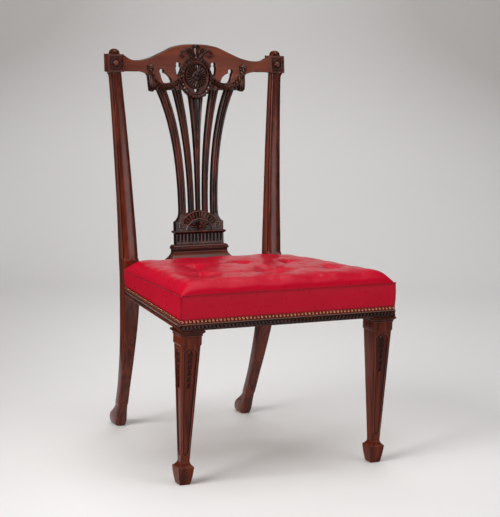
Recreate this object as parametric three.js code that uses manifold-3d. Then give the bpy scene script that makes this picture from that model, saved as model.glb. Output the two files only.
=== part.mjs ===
// Lyre back side chair: mahogany frame, carved crest and splat, stuff-over leather seat.
// Millimetres. X to the right of someone facing the chair, Y to the back, Z up.
// While it is built, Y is zero at the face of the front seat rail and Z is zero at the floor.

import * as THREE from 'three';
import { mergeVertices } from 'three/addons/utils/BufferGeometryUtils.js';
import Module from 'manifold-3d';

const wasm = await Module();
wasm.setup();

// General

const gap = 0.3; // between pieces that touch
const overrun = 4; // how far a cutting shape runs past the face that it cuts
const bury = 1.2; // how far a carved form is sunk in what carries it

// Driving dimensions

const seat = {
  frontWidth: 540, // across the seat frame at the front
  rearWidth: 421, // across the seat frame at the stiles
  depth: 448.5, // face of the front rail to the face of the stiles
};

const rail = {
  bottom: 352,
  height: 51,
  thickness: 26,
  rearThickness: 30,
  rearSetback: 3.5, // rear rail behind the face of the stiles
  tenonLength: 22,
  rearTenonLength: 11,
  tenonThickness: 9,
  tenonShoulder: 8, // above and below the tenon
};

const moulding = {
  height: 16,
  drop: 0.5, // below the rails
  reach: 4, // in front of the rails
  gadroonPitch: 9.3,
  gadroonDepth: 1.8,
  gadroonLean: 8, // sideways run of a lobe from top to bottom
  leanEase: 40, // the lean dies away over this length at the middle and at the mitres
};

const leather = {
  thickness: 2,
  seamRise: 26, // top seam at the front corners over the rails
  seamFall: 15.5, // how much lower that seam is at the stiles
  hem: 0.3, // skirt's edge above the moulding
  sideOverhang: 4, // the side seams lean out this much at the stiles
  crown: 30, // top of the rounded shoulders over the seam
  shoulder: 42, // how far in from the seam the shoulders run
  dome: 6, // middle of the seat over the shoulders
  rearRun: 76, // the crown dies away over this length at the back
  tuftDepth: 9,
  tuftRadius: 25,
  stileClearance: 4, // beside the stiles
};

const nail = { diameter: 8.6, pitch: 9.25, rise: 3, level: 4.9 }; // level: above the moulding

const rearCrownShare = 0.3; // of the crown that is left at the rear edge

const welt = { radius: 1.4 };

const leg = {
  side: 50.5, // collar and the post above it
  capReach: 5.8,
  capHeight: 12,
  capLip: 4.5,
  collarHeight: 19.5,
  outerTaper: 3.8, // back corner of the outer face, in from the front corner
  stepHeight: 2.4,
  stepIn: 1.8,
  neckHeight: 55,
  neckSide: 22,
  neckInset: 12.5, // outer face of the neck behind the outer face of the collar
  neckSetback: 16.5, // front face of the neck behind the front face of the collar
  footSide: 37.5,
  footWidestHeight: 43,
  footBase: 27,
  footRound: 3.5,
  panelMargin: 6.6,
  panelNeckMargin: 5,
  panelDepth: 1.6,
  panelTopGap: 7,
  panelFootGap: 17,
  huskLength: 15,
  huskWidth: 12.5,
  huskTipWidth: 8,
  huskRelief: 2.8,
};
const huskCount = 6;

const stile = {
  width: 39, // at the seat
  depth: 36,
  neckLevel: 400, // where the stile stands furthest forward
  plainTop: 443, // top of the square part, at the stop of the moulding
  stopHeight: 5,
  inset: 13.7, // middle line at the stop inside the corner of the seat frame
  toeIn: 20, // middle line at the floor inside the middle line at the stop
  splay: 21.3, // middle line under the corner block outside the middle line at the stop
  rake: 52, // middle line at the corner block behind the middle line at the neck
  sweep: 100, // middle line at the floor behind the middle line at the neck
  rakeEase: 35,
  footHeight: 60,
  ankleWidth: 24.5,
  footReach: 37, // back of the foot behind the back of the ankle
  arch: 4.5, // swell of the moulded front
  quirk: 2.6, // step at each side of that swell
  softEdge: 2,
  footEdge: 8,
  flareHeight: 14, // under the corner block, on the outer side
  flareReach: 9,
  tenonWidth: 12,
  tenonDepth: 9,
  tenonHeight: 24,
};
const sweepPower = 1.72;

const block = {
  width: 39,
  height: 42.5,
  depth: 33,
  outset: 1.1, // middle outside the middle line of the stile
  middleZ: 910.6,
  forward: 15, // front face ahead of the middle line of the stile
  recessRadius: 15,
  recessDepth: 3.5,
  ringWidth: 2.8,
  ringRise: 2.6,
  ballRadius: 9.5,
  ballRise: 6.5,
  earRadius: 11.8,
  earHeight: 13,
  earBallRadius: 4.4,
};

const crest = {
  dip: 917.6, // lowest point of the serpentine top
  rise: 39.8, // from there to the middle of the top
  underside: 890.5, // lower edge between a block and the carving
  fieldBottom: 845, // lower edge of the carved field, where the ribs meet it
  fieldHalf: 110,
  fieldEnd: 155, // where the lower edge has reached the underside
  depth: 18,
  bow: 19, // hollow of the back in plan
  edgeRound: 3,
  backRound: 8, // on the back of the top edge
};

const patera = {
  z: 880.3,
  radius: 31,
  rimRelief: 6.5,
  rimWidth: 5.5,
  petalOuter: 24,
  petalInner: 9.5,
  petalRelief: 4.2,
  petalGroove: 1.8,
  bossRelief: 6,
};
const petalCount = 22;

const garland = {
  z: 875.8,
  halfWidth: 38.5,
  halfHeight: 46,
  huskLong: 5.4,
  huskWide: 4.4,
  relief: 4.6,
  backing: 4.6, // rim of the field beyond the middle of the husks
};
const garlandHusks = 30;

const swag = { huskLong: 8.6, huskWide: 5.6, relief: 5 };
const swagHusks = 7;

const drop = { x: 122.5, top: 886, bottom: 841.5, width: 17, relief: 4.5, rosetteX: 125.8, rosette: 10, rosetteZ: 899.5 };

const splat = {
  thickness: 14,
  levelZ: 480, // where the setback is taken
  setback: 32.5, // front behind the face of the stiles
  lean: 38.3, // front at the crest's field behind the front at that level
  springRise: 3.5, // from the throat of the pedestal to where the ribs spring
  ribFront: 0.5, // face of the ribs behind the face of the pedestal
  ribRelief: 2.6,
  tenonWidth: 11,
  tenonThickness: 5,
  tenonHeight: 11,
};
const middleRib = { footX: 0, headX: 0, footWidth: 9.7, headWidth: 43, bendShare: 0.45 };
const innerRib = { footX: 19, headX: 51, footWidth: 13, headWidth: 22.4, bendShare: 0.13 };
const outerRib = { footX: 43.6, headX: 92.4, footWidth: 17.5, headWidth: 24.4, bendShare: 0.32 };
const pairedRibs = [innerRib, outerRib];

const pedestal = {
  halfWidth: 66,
  friezeHeight: 34, // from the bottom to the top of the cornice
  sideHeight: 21.5, // from there to the square shoulder
  flareRise: 24.5, // from there to the throat, where the flare leaves the outer rib
  corniceHeight: 6.5,
  corniceReach: 5.4,
  corniceFront: 3,
  archDrop: 3, // middle of the arches under the top of the cornice
  archHalf: 57,
  archRim: 3,
  innerHalf: 36,
  innerRise: 33,
  relief: 2,
  fanHalf: 25,
  fanRise: 19,
  fanLift: 6, // middle of the fan over the top of the cornice
  reedWidth: 6.4,
  petalWidth: 7.4,
  fluteDrop: 10, // top of the flutes under the top of the cornice
  fluteHeight: 18,
  fluteWidth: 4.8,
  flutePitch: 9.7,
  fluteDepth: 2.6,
  keySize: 13,
  keyBar: 2.6,
  keyX: 50,
  keyDrop: 7, // middle of a key under the shoulder
  tenonWidth: 90,
  tenonHeight: 30,
};
const fluteCount = 13;
const reedCount = 16;
const fanPetals = 7;

const shoe = {
  ovoloReach: 10.5, // beyond the pedestal
  ovoloHeight: 10.5,
  neckReach: 7,
  neckHeight: 5.5,
  footReach: 23.5,
  footLift: 1, // end of the hollow over the seat's top seam at the front
  height: 35.7, // from there to the top
  backReach: 1.5,
  beadPitch: 8,
  beadRadius: 2.4,
};
const shoeFrontShare = 0.6; // the mouldings stand out this share of their side reach in front

const strap = { width: 50, thickness: 1.4, lap: 18, rearLap: 8 };
const strapXShares = [-0.6, -0.2, 0.2, 0.6]; // of half the width between the side rails
const strapYShares = [0.25, 0.5, 0.75]; // of the seat's depth

const stuffingSlack = 1.6; // between the stuffing and the inner face of the cover

const hessian = { thickness: 1, inset: 9 };

const cornerBlock = { leg: 62, height: 32, below: 8, toe: 10 };

// Tables of shares

// Height of the serpentine top over its dip, from the middle out to the block.
const crestTopShares = [
  [0, 1], [0.15, 0.97], [0.305, 0.817], [0.4225, 0.565], [0.48, 0.44], [0.6025, 0.188],
  [0.7, 0.055], [0.775, 0], [0.875, 0.02], [0.95, 0.19], [1, 0.36],
];

// Lower edge of the crest, from the end of the field round the tassel to the plain underside:
// place, and height over the bottom of the field.
const undersideShares = [
  [0, 0], [0.044, 0.176], [0.089, 0.22], [0.133, -0.033], [0.267, -0.077], [0.4, -0.044],
  [0.467, 0.747], [0.578, 0.89], [0.778, 0.956], [1, 1],
];

// Width and depth of a stile against its height up to the corner block.
const stileWidthShares = [
  [0.067, 0.7], [0.124, 0.694], [0.169, 0.736], [0.225, 0.79], [0.337, 0.944], [0.394, 1],
  [0.5, 1], [0.635, 0.917], [0.776, 0.833], [0.945, 0.722], [1, 0.706],
];
const stileDepthShares = [
  [0.067, 0.645], [0.124, 0.632], [0.169, 0.67], [0.225, 0.765], [0.337, 0.956], [0.394, 1],
  [0.498, 1], [0.635, 0.85], [0.776, 0.765], [0.945, 0.66], [1, 0.62],
];

// Rear foot, from the floor to the ankle: level, front and back shares of its reach, width share.
const rearFootShares = [
  [0, 0.46, 0.92, 1], [0.08, 0.4, 1.06, 1.15], [0.2, 0.33, 1.13, 1.22], [0.36, 0.27, 1.1, 1.23],
  [0.5, 0.22, 0.93, 1.18], [0.66, 0.15, 0.55, 1.11], [0.83, 0.07, 0.2, 1.05],
];

// Tufts: across, of half the seat's width, and back, of its depth.
const tuftShares = [
  [-0.666, 0.255], [0, 0.2], [0.666, 0.255], [-0.53, 0.55], [0, 0.58], [0.53, 0.55],
];

const flareShares = [[0, 0], [0.39, 0.13], [0.75, 0.39], [0.957, 0.69], [1, 1]];
const huskOutlineShares = [[0, -0.5], [0.5, -0.4], [0.27, 0.3], [0, 0.5]];

// Piercings on the right of the crest's field: a round head over a body. The body's points are
// shares of its reach towards the middle and of its drop below the head.
const innerHole = { x: 47.8, z: 907.6, headRadius: 6.2, reach: 10, drop: 29 };
const outerHole = { x: 93.7, z: 891, headRadius: 6.2, reach: 27.6, drop: 28 };
const innerHoleShares = [
  [-0.7, 0.26], [-0.68, 0.43], [-0.6, 0.64], [-0.37, 0.92], [-0.17, 1], [0.33, 0.76], [0.66, 0.54],
  [0.9, 0.28], [0.56, 0.2],
];
const outerHoleShares = [
  [-0.12, 0.22], [-0.08, 0.47], [0.015, 0.757], [0.174, 1], [0.605, 1.02], [1, 0.95], [0.826, 0.564],
  [0.587, 0.32], [0.26, 0.16],
];
const slot = { halfWidth: 6.5, bottom: 839.5, top: 851 };

// Small helpers

function facingOut(points, index) {
  let volume = 0;
  for (let i = 0; i < index.length; i += 3) {
    const [a, b, c] = [points[index[i]], points[index[i + 1]], points[index[i + 2]]];
    volume += a.dot(new THREE.Vector3().crossVectors(b, c));
  }
  const geometry = new THREE.BufferGeometry().setFromPoints(points);
  geometry.setIndex(volume < 0 ? [...index].reverse() : [...index]);
  return geometry;
}

// The same geometry with shared corners, closed and facing out.
function sound(geometry) {
  const bare = geometry.clone();
  bare.deleteAttribute('normal');
  bare.deleteAttribute('uv');
  const merged = mergeVertices(bare);
  const position = merged.attributes.position;
  const points = Array.from({ length: position.count }, (_, i) => (
    new THREE.Vector3().fromBufferAttribute(position, i)
  ));
  const index = Array.from(merged.index.array);
  const kept = [];
  for (let i = 0; i < index.length; i += 3) {
    const [a, b, c] = index.slice(i, i + 3);
    if (a !== b && b !== c && c !== a) kept.push(a, b, c);
  }
  return facingOut(points, kept);
}

function solid(geometry) {
  const { attributes, index } = sound(geometry);
  return new wasm.Manifold(new wasm.Mesh({
    numProp: 3,
    vertProperties: new Float32Array(attributes.position.array),
    triVerts: new Uint32Array(index.array),
  }));
}

function join(...pieces) {
  return pieces.flat().reduce((whole, piece) => whole.add(piece));
}

function cut(body, ...tools) {
  return tools.flat().reduce((rest, tool) => rest.subtract(tool), body);
}

function geometryOf(body) {
  const mesh = body.getMesh();
  const geometry = new THREE.BufferGeometry();
  geometry.setAttribute('position', new THREE.BufferAttribute(mesh.vertProperties, mesh.numProp));
  geometry.setIndex(new THREE.BufferAttribute(mesh.triVerts, 1));
  return geometry;
}

function mapped(geometry, place) {
  const result = geometry.clone();
  const position = result.attributes.position;
  const point = new THREE.Vector3();
  for (let i = 0; i < position.count; i += 1) {
    place(point.fromBufferAttribute(position, i));
    position.setXYZ(i, point.x, point.y, point.z);
  }
  return result;
}

function mirrored(geometry) {
  return sound(mapped(geometry, (point) => point.setX(-point.x)));
}

// Height at one place of the smooth curve through [place, height] pairs.
function through(pairs, place) {
  let last = 1;
  while (last < pairs.length - 1 && pairs[last][0] < place) last += 1;
  const [x0, y0] = pairs[last - 1];
  const [x1, y1] = pairs[last];
  const before = pairs[last - 2] ?? pairs[last - 1];
  const after = pairs[last + 1] ?? pairs[last];
  const slope0 = (y1 - before[1]) / (x1 - before[0]);
  const slope1 = (after[1] - y0) / (after[0] - x0);
  const span = x1 - x0;
  const t = THREE.MathUtils.clamp((place - x0) / span, 0, 1);
  const blend = t * t * (3 - 2 * t);
  return y0 + (y1 - y0) * blend + span * t * (1 - t) * ((1 - t) * slope0 - t * slope1);
}

// Height at one place of the straight lines through [place, height] pairs.
function straight(pairs, place) {
  const next = pairs.findIndex(([x]) => x >= place);
  if (next <= 0) return next === 0 ? pairs[0][1] : pairs[pairs.length - 1][1];
  const [[x0, y0], [x1, y1]] = [pairs[next - 1], pairs[next]];
  return THREE.MathUtils.mapLinear(place, x0, x1, y0, y1);
}

function steps(count, from, to) {
  return Array.from({ length: count + 1 }, (_, i) => from + ((to - from) * i) / count);
}

// Triangles that close a flat ring of points, facing along the ring's own normal.
function capOf(ring) {
  const normal = new THREE.Vector3();
  const first = ring[0];
  ring.forEach((point, i) => {
    const next = ring[(i + 1) % ring.length];
    normal.add(point.clone().sub(first).cross(next.clone().sub(first)));
  });
  normal.normalize();
  const aside = Math.abs(normal.z) < 0.9 ? new THREE.Vector3(0, 0, 1) : new THREE.Vector3(1, 0, 0);
  const across = aside.cross(normal).normalize();
  const along = normal.clone().cross(across);
  const flat = ring.map((point) => new THREE.Vector2(point.dot(across), point.dot(along)));
  return THREE.ShapeUtils.triangulateShape(flat, []);
}

// Closed surface through rings that all have the same number of points.
function loft(rings) {
  const count = rings[0].length;
  const index = [];
  for (let r = 0; r < rings.length - 1; r += 1) {
    for (let i = 0; i < count; i += 1) {
      const a = r * count + i;
      const b = r * count + ((i + 1) % count);
      index.push(a, b, b + count, a, b + count, a + count);
    }
  }
  const end = (rings.length - 1) * count;
  capOf(rings[0]).forEach(([a, b, c]) => index.push(a, c, b));
  capOf(rings[rings.length - 1]).forEach(([a, b, c]) => index.push(end + a, end + b, end + c));
  return facingOut(rings.flat(), index);
}

// Solid between an outer and an inner copy of an open sheet of faces.
function thicken(outer, inner, faces) {
  const shift = outer.length;
  const index = faces.flatMap(([a, b, c]) => [a, b, c, a + shift, c + shift, b + shift]);
  const edges = new Map();
  faces.forEach((face) => face.forEach((a, i) => {
    const b = face[(i + 1) % face.length];
    edges.set(`${a} ${b}`, [a, b]);
  }));
  edges.forEach(([a, b]) => {
    if (!edges.has(`${b} ${a}`)) index.push(b, a, a + shift, b, a + shift, b + shift);
  });
  return facingOut([...outer, ...inner], index);
}

// Box between two corners.
function brick(x0, x1, y0, y1, z0, z1) {
  const size = [x1 - x0, y1 - y0, z1 - z0].map(Math.abs);
  return new THREE.BoxGeometry(...size).translate((x0 + x1) / 2, (y0 + y1) / 2, (z0 + z1) / 2);
}

// Flat outline in X and Z, given a thickness along Y from front to back.
function standing(points, front, back) {
  const shape = new THREE.Shape(points.map(([x, z]) => new THREE.Vector2(x, z)));
  const plate = new THREE.ExtrudeGeometry(shape, { depth: back - front, bevelEnabled: false });
  return plate.rotateX(Math.PI / 2).translate(0, back, 0);
}

// Flat outline in X and Y, given a height from bottom to top.
function lying(points, bottom, top) {
  const shape = new THREE.Shape(points.map(([x, y]) => new THREE.Vector2(x, y)));
  const plate = new THREE.ExtrudeGeometry(shape, { depth: top - bottom, bevelEnabled: false });
  return plate.translate(0, 0, bottom);
}

// Points on an ellipse in X and Z, angles in turns from +X towards +Z.
function arcPoints(x, z, halfWidth, halfHeight, from, to, count) {
  return steps(count, from, to).map((turn) => [
    x + halfWidth * Math.cos(2 * Math.PI * turn),
    z + halfHeight * Math.sin(2 * Math.PI * turn),
  ]);
}

// Swelling form on the plane Y = 0, seen from the front, turned in that plane.
function boss(x, z, halfWidth, halfHeight, relief, turn = 0) {
  return raisedForm(new THREE.IcosahedronGeometry(1, 0), x, z, halfWidth, halfHeight, relief, turn);
}

// The same, smaller and plainer: a ridge that falls to a point at each end.
function ridge(x, z, halfWidth, halfHeight, relief, turn = 0) {
  return raisedForm(new THREE.OctahedronGeometry(1, 0), x, z, halfWidth, halfHeight, relief, turn);
}

function raisedForm(form, x, z, halfWidth, halfHeight, relief, turn) {
  return form
    .scale(halfWidth, relief, halfHeight)
    .rotateY(turn)
    .translate(x, 0, z);
}

// Closed path of rings: each stop has a place and an outward direction in plan.
function sweep(stops, profile) {
  return loft(stops.map(({ x, y, z, ox, oy, scale = 1 }) => profile.map(([out, up]) => (
    new THREE.Vector3(x + ox * out * scale, y + oy * out * scale, z + up * scale)
  ))));
}

// Seat frame in plan

const railTop = rail.bottom + rail.height;
const tenonBottom = rail.bottom + rail.tenonShoulder;
const tenonTop = railTop - rail.tenonShoulder;
const mouldingBottom = rail.bottom - moulding.drop;
const mouldingTop = mouldingBottom + moulding.height;
const frontHalf = seat.frontWidth / 2;
const sideTurn = Math.atan((frontHalf - seat.rearWidth / 2) / seat.depth);
const sideOut = { ox: Math.cos(sideTurn), oy: Math.sin(sideTurn) };
const mitreOut = { ox: (1 + Math.sin(sideTurn)) / Math.cos(sideTurn), oy: -1 };
const railRun = rail.thickness / Math.cos(sideTurn);

function frameHalf(y) {
  return frontHalf - Math.tan(sideTurn) * y;
}

// Plan of a bar that follows the right side rail between two depths and two distances from its face.
function sideStrip(y0, y1, outer, inner) {
  return [
    [frameHalf(y0) - inner, y0], [frameHalf(y0) - outer, y0],
    [frameHalf(y1) - outer, y1], [frameHalf(y1) - inner, y1],
  ];
}

// Front legs

const capTop = mouldingBottom - gap;
const capBottom = capTop - leg.capHeight;
const collarBottom = capBottom - leg.collarHeight;
const shaftTop = collarBottom - leg.stepHeight;

// Four corners in plan; the last number brings the outer back corner in.
function squareRing([x0, x1, y0, y1], z, grow = 0, taper = 0) {
  return [[x0 - grow, y0 - grow], [x1 + grow, y0 - grow], [x1 + grow - taper, y1 + grow], [x0 - grow, y1 + grow]]
    .map(([x, y]) => new THREE.Vector3(x, y, z));
}

// Plan of the tapered shaft at a height: inner and outer X, front and back Y.
function shaftPlan(z) {
  const t = (shaftTop - z) / (shaftTop - leg.neckHeight);
  const outer = frontHalf - THREE.MathUtils.lerp(leg.stepIn, leg.neckInset, t);
  const front = THREE.MathUtils.lerp(leg.stepIn, leg.neckSetback, t);
  const side = THREE.MathUtils.lerp(leg.side - 2 * leg.stepIn, leg.neckSide, t);
  return [outer - side, outer, front, front + side];
}

const collarPlan = [frontHalf - leg.side, frontHalf, 0, leg.side];

function legShape() {
  const neck = shaftPlan(leg.neckHeight);
  const footGrow = (leg.footSide - leg.neckSide) / 2;
  const baseGrow = (leg.footBase - leg.neckSide) / 2;
  const lowShare = 0.55; // of the foot's height to its widest part
  const taper = leg.outerTaper;
  return loft([
    squareRing(neck, 0, baseGrow - leg.footRound),
    squareRing(neck, leg.footRound, baseGrow),
    squareRing(neck, leg.footWidestHeight * lowShare, THREE.MathUtils.lerp(baseGrow, footGrow, lowShare)),
    squareRing(neck, leg.footWidestHeight - leg.footRound, footGrow),
    squareRing(neck, leg.footWidestHeight, footGrow - bury),
    squareRing(neck, leg.neckHeight, 0, taper / 2),
    squareRing(shaftPlan(shaftTop), shaftTop, 0, taper),
    squareRing(collarPlan, collarBottom, 0, taper),
    squareRing(collarPlan, capBottom, 0, taper),
    squareRing(collarPlan, capTop - leg.capLip, leg.capReach - bury, taper),
    squareRing(collarPlan, capTop - leg.capLip, leg.capReach, taper),
    squareRing(collarPlan, capTop, leg.capReach, taper),
    squareRing(collarPlan, capTop + gap / 2, 0, taper),
    squareRing(collarPlan, railTop, 0, taper),
  ]);
}

// Frame of a face of the shaft: X along the face, Y into the wood, Z up the face from the neck.
function faceFrame(isFront) {
  const [x0, x1, y0, y1] = shaftPlan(shaftTop);
  const [u0, u1, v0, v1] = shaftPlan(leg.neckHeight);
  const top = isFront
    ? new THREE.Vector3((x0 + x1) / 2, y0, shaftTop)
    : new THREE.Vector3(x1 - leg.outerTaper / 2, (y0 + y1) / 2, shaftTop);
  const foot = isFront
    ? new THREE.Vector3((u0 + u1) / 2, v0, leg.neckHeight)
    : new THREE.Vector3(u1 - leg.outerTaper / 4, (v0 + v1) / 2, leg.neckHeight);
  const up = top.clone().sub(foot);
  const length = up.length();
  up.normalize();
  const lengthwise = new THREE.Vector3(-leg.outerTaper, leg.side, 0).normalize();
  const along = isFront ? new THREE.Vector3(1, 0, 0) : lengthwise;
  const into = up.clone().cross(along).normalize();
  const matrix = new THREE.Matrix4().makeBasis(along, into, up).setPosition(foot);
  return { matrix, length };
}

function panelHalf(share) {
  const face = THREE.MathUtils.lerp(leg.neckSide, leg.side - 2 * leg.stepIn, share);
  return face / 2 - THREE.MathUtils.lerp(leg.panelNeckMargin, leg.panelMargin, share);
}

function panelOutline(length) {
  const low = panelHalf(0);
  const high = panelHalf(1);
  return [
    ...arcPoints(0, leg.panelFootGap + low, low, low, 0.5, 1, 5),
    ...arcPoints(0, length - leg.panelTopGap - high * 0.7, high, high * 0.7, 0, 0.5, 6),
  ];
}

function huskShape(z, width) {
  const outline = huskOutlineShares.map(([r, h]) => new THREE.Vector2(r * width, h * leg.huskLength));
  return new THREE.LatheGeometry(outline, 6)
    .rotateX(Math.PI / 2)
    .scale(1, (2 * leg.huskRelief) / width, 1)
    .translate(0, leg.panelDepth, z);
}

function frontLeg() {
  const parts = [true, false].map((isFront) => {
    const { matrix, length } = faceFrame(isFront);
    const place = (geometry) => solid(geometry.applyMatrix4(matrix));
    const husks = steps(huskCount - 1, 0, 1).map((share, i) => {
      const z = length - leg.panelTopGap - leg.huskLength * (0.75 + i * 0.94);
      return place(huskShape(z, THREE.MathUtils.lerp(leg.huskWidth, leg.huskTipWidth, share)));
    });
    return { panel: place(standing(panelOutline(length), -overrun, leg.panelDepth)), husks };
  });
  const beyondSide = lying(
    [...sideStrip(-overrun, leg.side + overrun, 0, -leg.capReach * 2)],
    capTop + gap,
    railTop + overrun,
  );
  const frontTenon = brick(
    frontHalf - leg.side - overrun, frontHalf - leg.side + rail.tenonLength + gap,
    (rail.thickness - rail.tenonThickness) / 2 - gap, (rail.thickness + rail.tenonThickness) / 2 + gap,
    tenonBottom - gap, tenonTop + gap,
  );
  const body = cut(
    solid(legShape()),
    solid(beyondSide),
    solid(frontTenon),
    solid(sideTenon(leg.side - rail.tenonLength - gap, leg.side + overrun, gap)),
    parts.map((part) => part.panel),
  );
  return join(body, parts.flatMap((part) => part.husks));
}

// Tenon of the right side rail between two depths, grown by a clearance.
function sideTenon(y0, y1, grow) {
  const middle = railRun / 2;
  const half = rail.tenonThickness / 2 + grow;
  return lying(sideStrip(y0, y1, middle - half, middle + half), tenonBottom - grow, tenonTop + grow);
}

// Stiles: rear leg and upright in one length

const stileTop = block.middleZ - block.height / 2 - gap;
const stileSeatX = seat.rearWidth / 2 - stile.inset;
const neckY = seat.depth + gap + stile.depth / 2;
const rakeRun = Math.hypot(stileTop - stile.neckLevel, stile.rakeEase) - stile.rakeEase;
const rakeSlope = stile.rake / rakeRun;

function stileY(z) {
  const rise = z - stile.neckLevel;
  if (rise < 0) return neckY + stile.sweep * (-rise / stile.neckLevel) ** sweepPower;
  return neckY + rakeSlope * (Math.hypot(rise, stile.rakeEase) - stile.rakeEase);
}

function stileX(z) {
  if (z < stile.plainTop) return stileSeatX - stile.toeIn * (1 - z / stile.plainTop);
  const t = (z - stile.plainTop) / (stileTop - stile.plainTop);
  const splayShare = 0.6; // of the outward run that is straight
  return stileSeatX + stile.splay * (splayShare * t + (1 - splayShare) * t * t);
}

// Section of a stile with a swelling front between two quirks, or plain where swell is zero.
function stileRing({ x, y, z, width, depth, swell, quirk, edge }) {
  const half = width / 2;
  const front = y - depth / 2;
  const back = y + depth / 2;
  const swollen = steps(5, Math.PI, 0).map((turn) => [
    x + (half - quirk) * Math.cos(turn),
    front + swell * (1 - Math.sin(turn)),
  ]);
  return [
    [x - half, front + swell + quirk],
    ...swollen,
    [x + half, front + swell + quirk],
    [x + half, back - edge], [x + half - edge, back], [x - half + edge, back], [x - half, back - edge],
  ].map(([px, py]) => new THREE.Vector3(px, py, z));
}

function stileSection(z, grow, moulded) {
  const share = z / stileTop;
  return {
    x: stileX(z),
    y: stileY(z),
    z,
    width: stile.width * through(stileWidthShares, share) + 2 * grow,
    depth: stile.depth * through(stileDepthShares, share) + 2 * grow,
    swell: moulded ? stile.arch * through(stileDepthShares, share) : 0,
    quirk: moulded ? stile.quirk : stile.softEdge,
    edge: stile.softEdge,
  };
}

function footSection([level, frontShare, backShare, widthShare]) {
  const ankle = stileSection(stile.footHeight, 0, false);
  const front = ankle.y - ankle.depth / 2 + stile.footReach * frontShare;
  const back = ankle.y + ankle.depth / 2 + stile.footReach * backShare;
  return {
    x: stileX(level * stile.footHeight),
    y: (front + back) / 2,
    z: level * stile.footHeight,
    width: stile.ankleWidth * widthShare,
    depth: back - front,
    swell: stile.softEdge,
    quirk: THREE.MathUtils.lerp(stile.footEdge, stile.softEdge, level * level),
    edge: THREE.MathUtils.lerp(stile.footEdge, stile.softEdge, level * level),
  };
}

function stileShape(grow = 0) {
  const top = stileSection(stileTop, grow, true);
  const flared = { ...top, x: top.x + stile.flareReach / 2, width: top.width + stile.flareReach };
  return loft([
    ...rearFootShares.map(footSection),
    ...steps(7, stile.footHeight, stile.plainTop - stile.stopHeight).map((z) => stileSection(z, grow, false)),
    stileSection(stile.plainTop - gap, grow, false),
    ...steps(8, stile.plainTop, stileTop - stile.flareHeight).map((z) => stileSection(z, grow, true)),
    flared,
  ].map(stileRing));
}

function stileTenon(grow) {
  const x = stileX(stileTop);
  const y = stileY(stileTop);
  return brick(
    x - stile.tenonWidth / 2 - grow, x + stile.tenonWidth / 2 + grow,
    y - stile.tenonDepth / 2 - grow, y + stile.tenonDepth / 2 + grow,
    stileTop - overrun, stileTop + stile.tenonHeight + grow,
  );
}

const rearRailFront = seat.depth + rail.rearSetback;

function rearTenon(grow) {
  const face = stileX(railTop) - stile.width / 2;
  const middle = rearRailFront + rail.rearThickness / 2;
  return brick(
    face - overrun, face + rail.rearTenonLength + grow,
    middle - rail.tenonThickness / 2 - grow, middle + rail.tenonThickness / 2 + grow,
    tenonBottom - grow, tenonTop + grow,
  );
}

function stileBody() {
  const body = join(solid(stileShape()), solid(stileTenon(0)));
  const sideMortise = sideTenon(seat.depth - overrun, seat.depth + rail.tenonLength - overrun + gap, gap);
  return cut(body, solid(sideMortise), solid(rearTenon(gap)));
}

// Seat rails

function frontRail() {
  const reach = frontHalf - leg.side;
  const bar = brick(-reach + gap, reach - gap, 0, rail.thickness, rail.bottom, railTop);
  const tenon = brick(
    -reach - rail.tenonLength, reach + rail.tenonLength,
    (rail.thickness - rail.tenonThickness) / 2, (rail.thickness + rail.tenonThickness) / 2,
    tenonBottom, tenonTop,
  );
  return join(solid(bar), solid(tenon));
}

function sideRail() {
  const bar = lying(sideStrip(leg.side + gap, seat.depth + stile.depth / 2, 0, railRun), rail.bottom, railTop);
  const fitted = cut(solid(bar), solid(stileShape(gap)));
  const tenon = sideTenon(leg.side - rail.tenonLength, seat.depth + rail.tenonLength - overrun, 0);
  return join(fitted, solid(tenon));
}

function rearRail() {
  const half = stileX(railTop);
  const back = rearRailFront + rail.rearThickness;
  const bar = solid(brick(-half, half, rearRailFront, back, rail.bottom, railTop));
  const stiles = [stileShape(gap), mirrored(stileShape(gap))].map(solid);
  const tenons = [rearTenon(0), mirrored(rearTenon(0))].map(solid);
  return join(cut(bar, stiles), tenons);
}

// Glued blocks in the corners of the seat frame, seen in plan

function frontCornerPlan() {
  const postX = frontHalf - leg.side - gap;
  const front = rail.thickness + gap;
  const back = leg.side + gap;
  const inner = (y) => frameHalf(y) - railRun - gap;
  return [
    [postX - cornerBlock.leg, front], [postX, front], [postX, back], [inner(back), back],
    [inner(back + cornerBlock.leg), back + cornerBlock.leg],
    [inner(back + cornerBlock.leg) - cornerBlock.toe, back + cornerBlock.leg],
    [postX - cornerBlock.leg, front + cornerBlock.toe],
  ];
}

function rearCornerPlan() {
  const stileInner = stileX(rail.bottom) - stile.width / 2 - gap;
  const back = rearRailFront - gap;
  const notch = seat.depth - gap;
  const inner = (y) => frameHalf(y) - railRun - gap;
  return [
    [inner(notch), notch], [stileInner, notch], [stileInner, back],
    [stileInner - cornerBlock.leg, back], [stileInner - cornerBlock.leg, back - cornerBlock.toe],
    [inner(notch - cornerBlock.leg) - cornerBlock.toe, notch - cornerBlock.leg],
    [inner(notch - cornerBlock.leg), notch - cornerBlock.leg],
  ];
}

function cornerBlockShape(plan) {
  const top = railTop - cornerBlock.below;
  return lying(plan, top - cornerBlock.height, top);
}

// Seat mouldings

// Section of the carved front strip: out from the rail, up from its bottom, and whether it is carved.
const gadroonShares = [
  [0, 0, false], [0.8, 0, false], [1, 0.34, true], [0.84, 0.78, true], [0.9, 1, false], [0, 1, false],
];

// The side strips have a fillet, a hollow and a bead.
const sideStripShares = [
  [0, 0], [0.8, 0], [1, 0.1], [1, 0.2], [0.8, 0.3], [0.5, 0.34], [0.55, 0.55], [0.75, 0.72],
  [0.92, 0.8], [0.92, 1], [0, 1],
];

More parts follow.
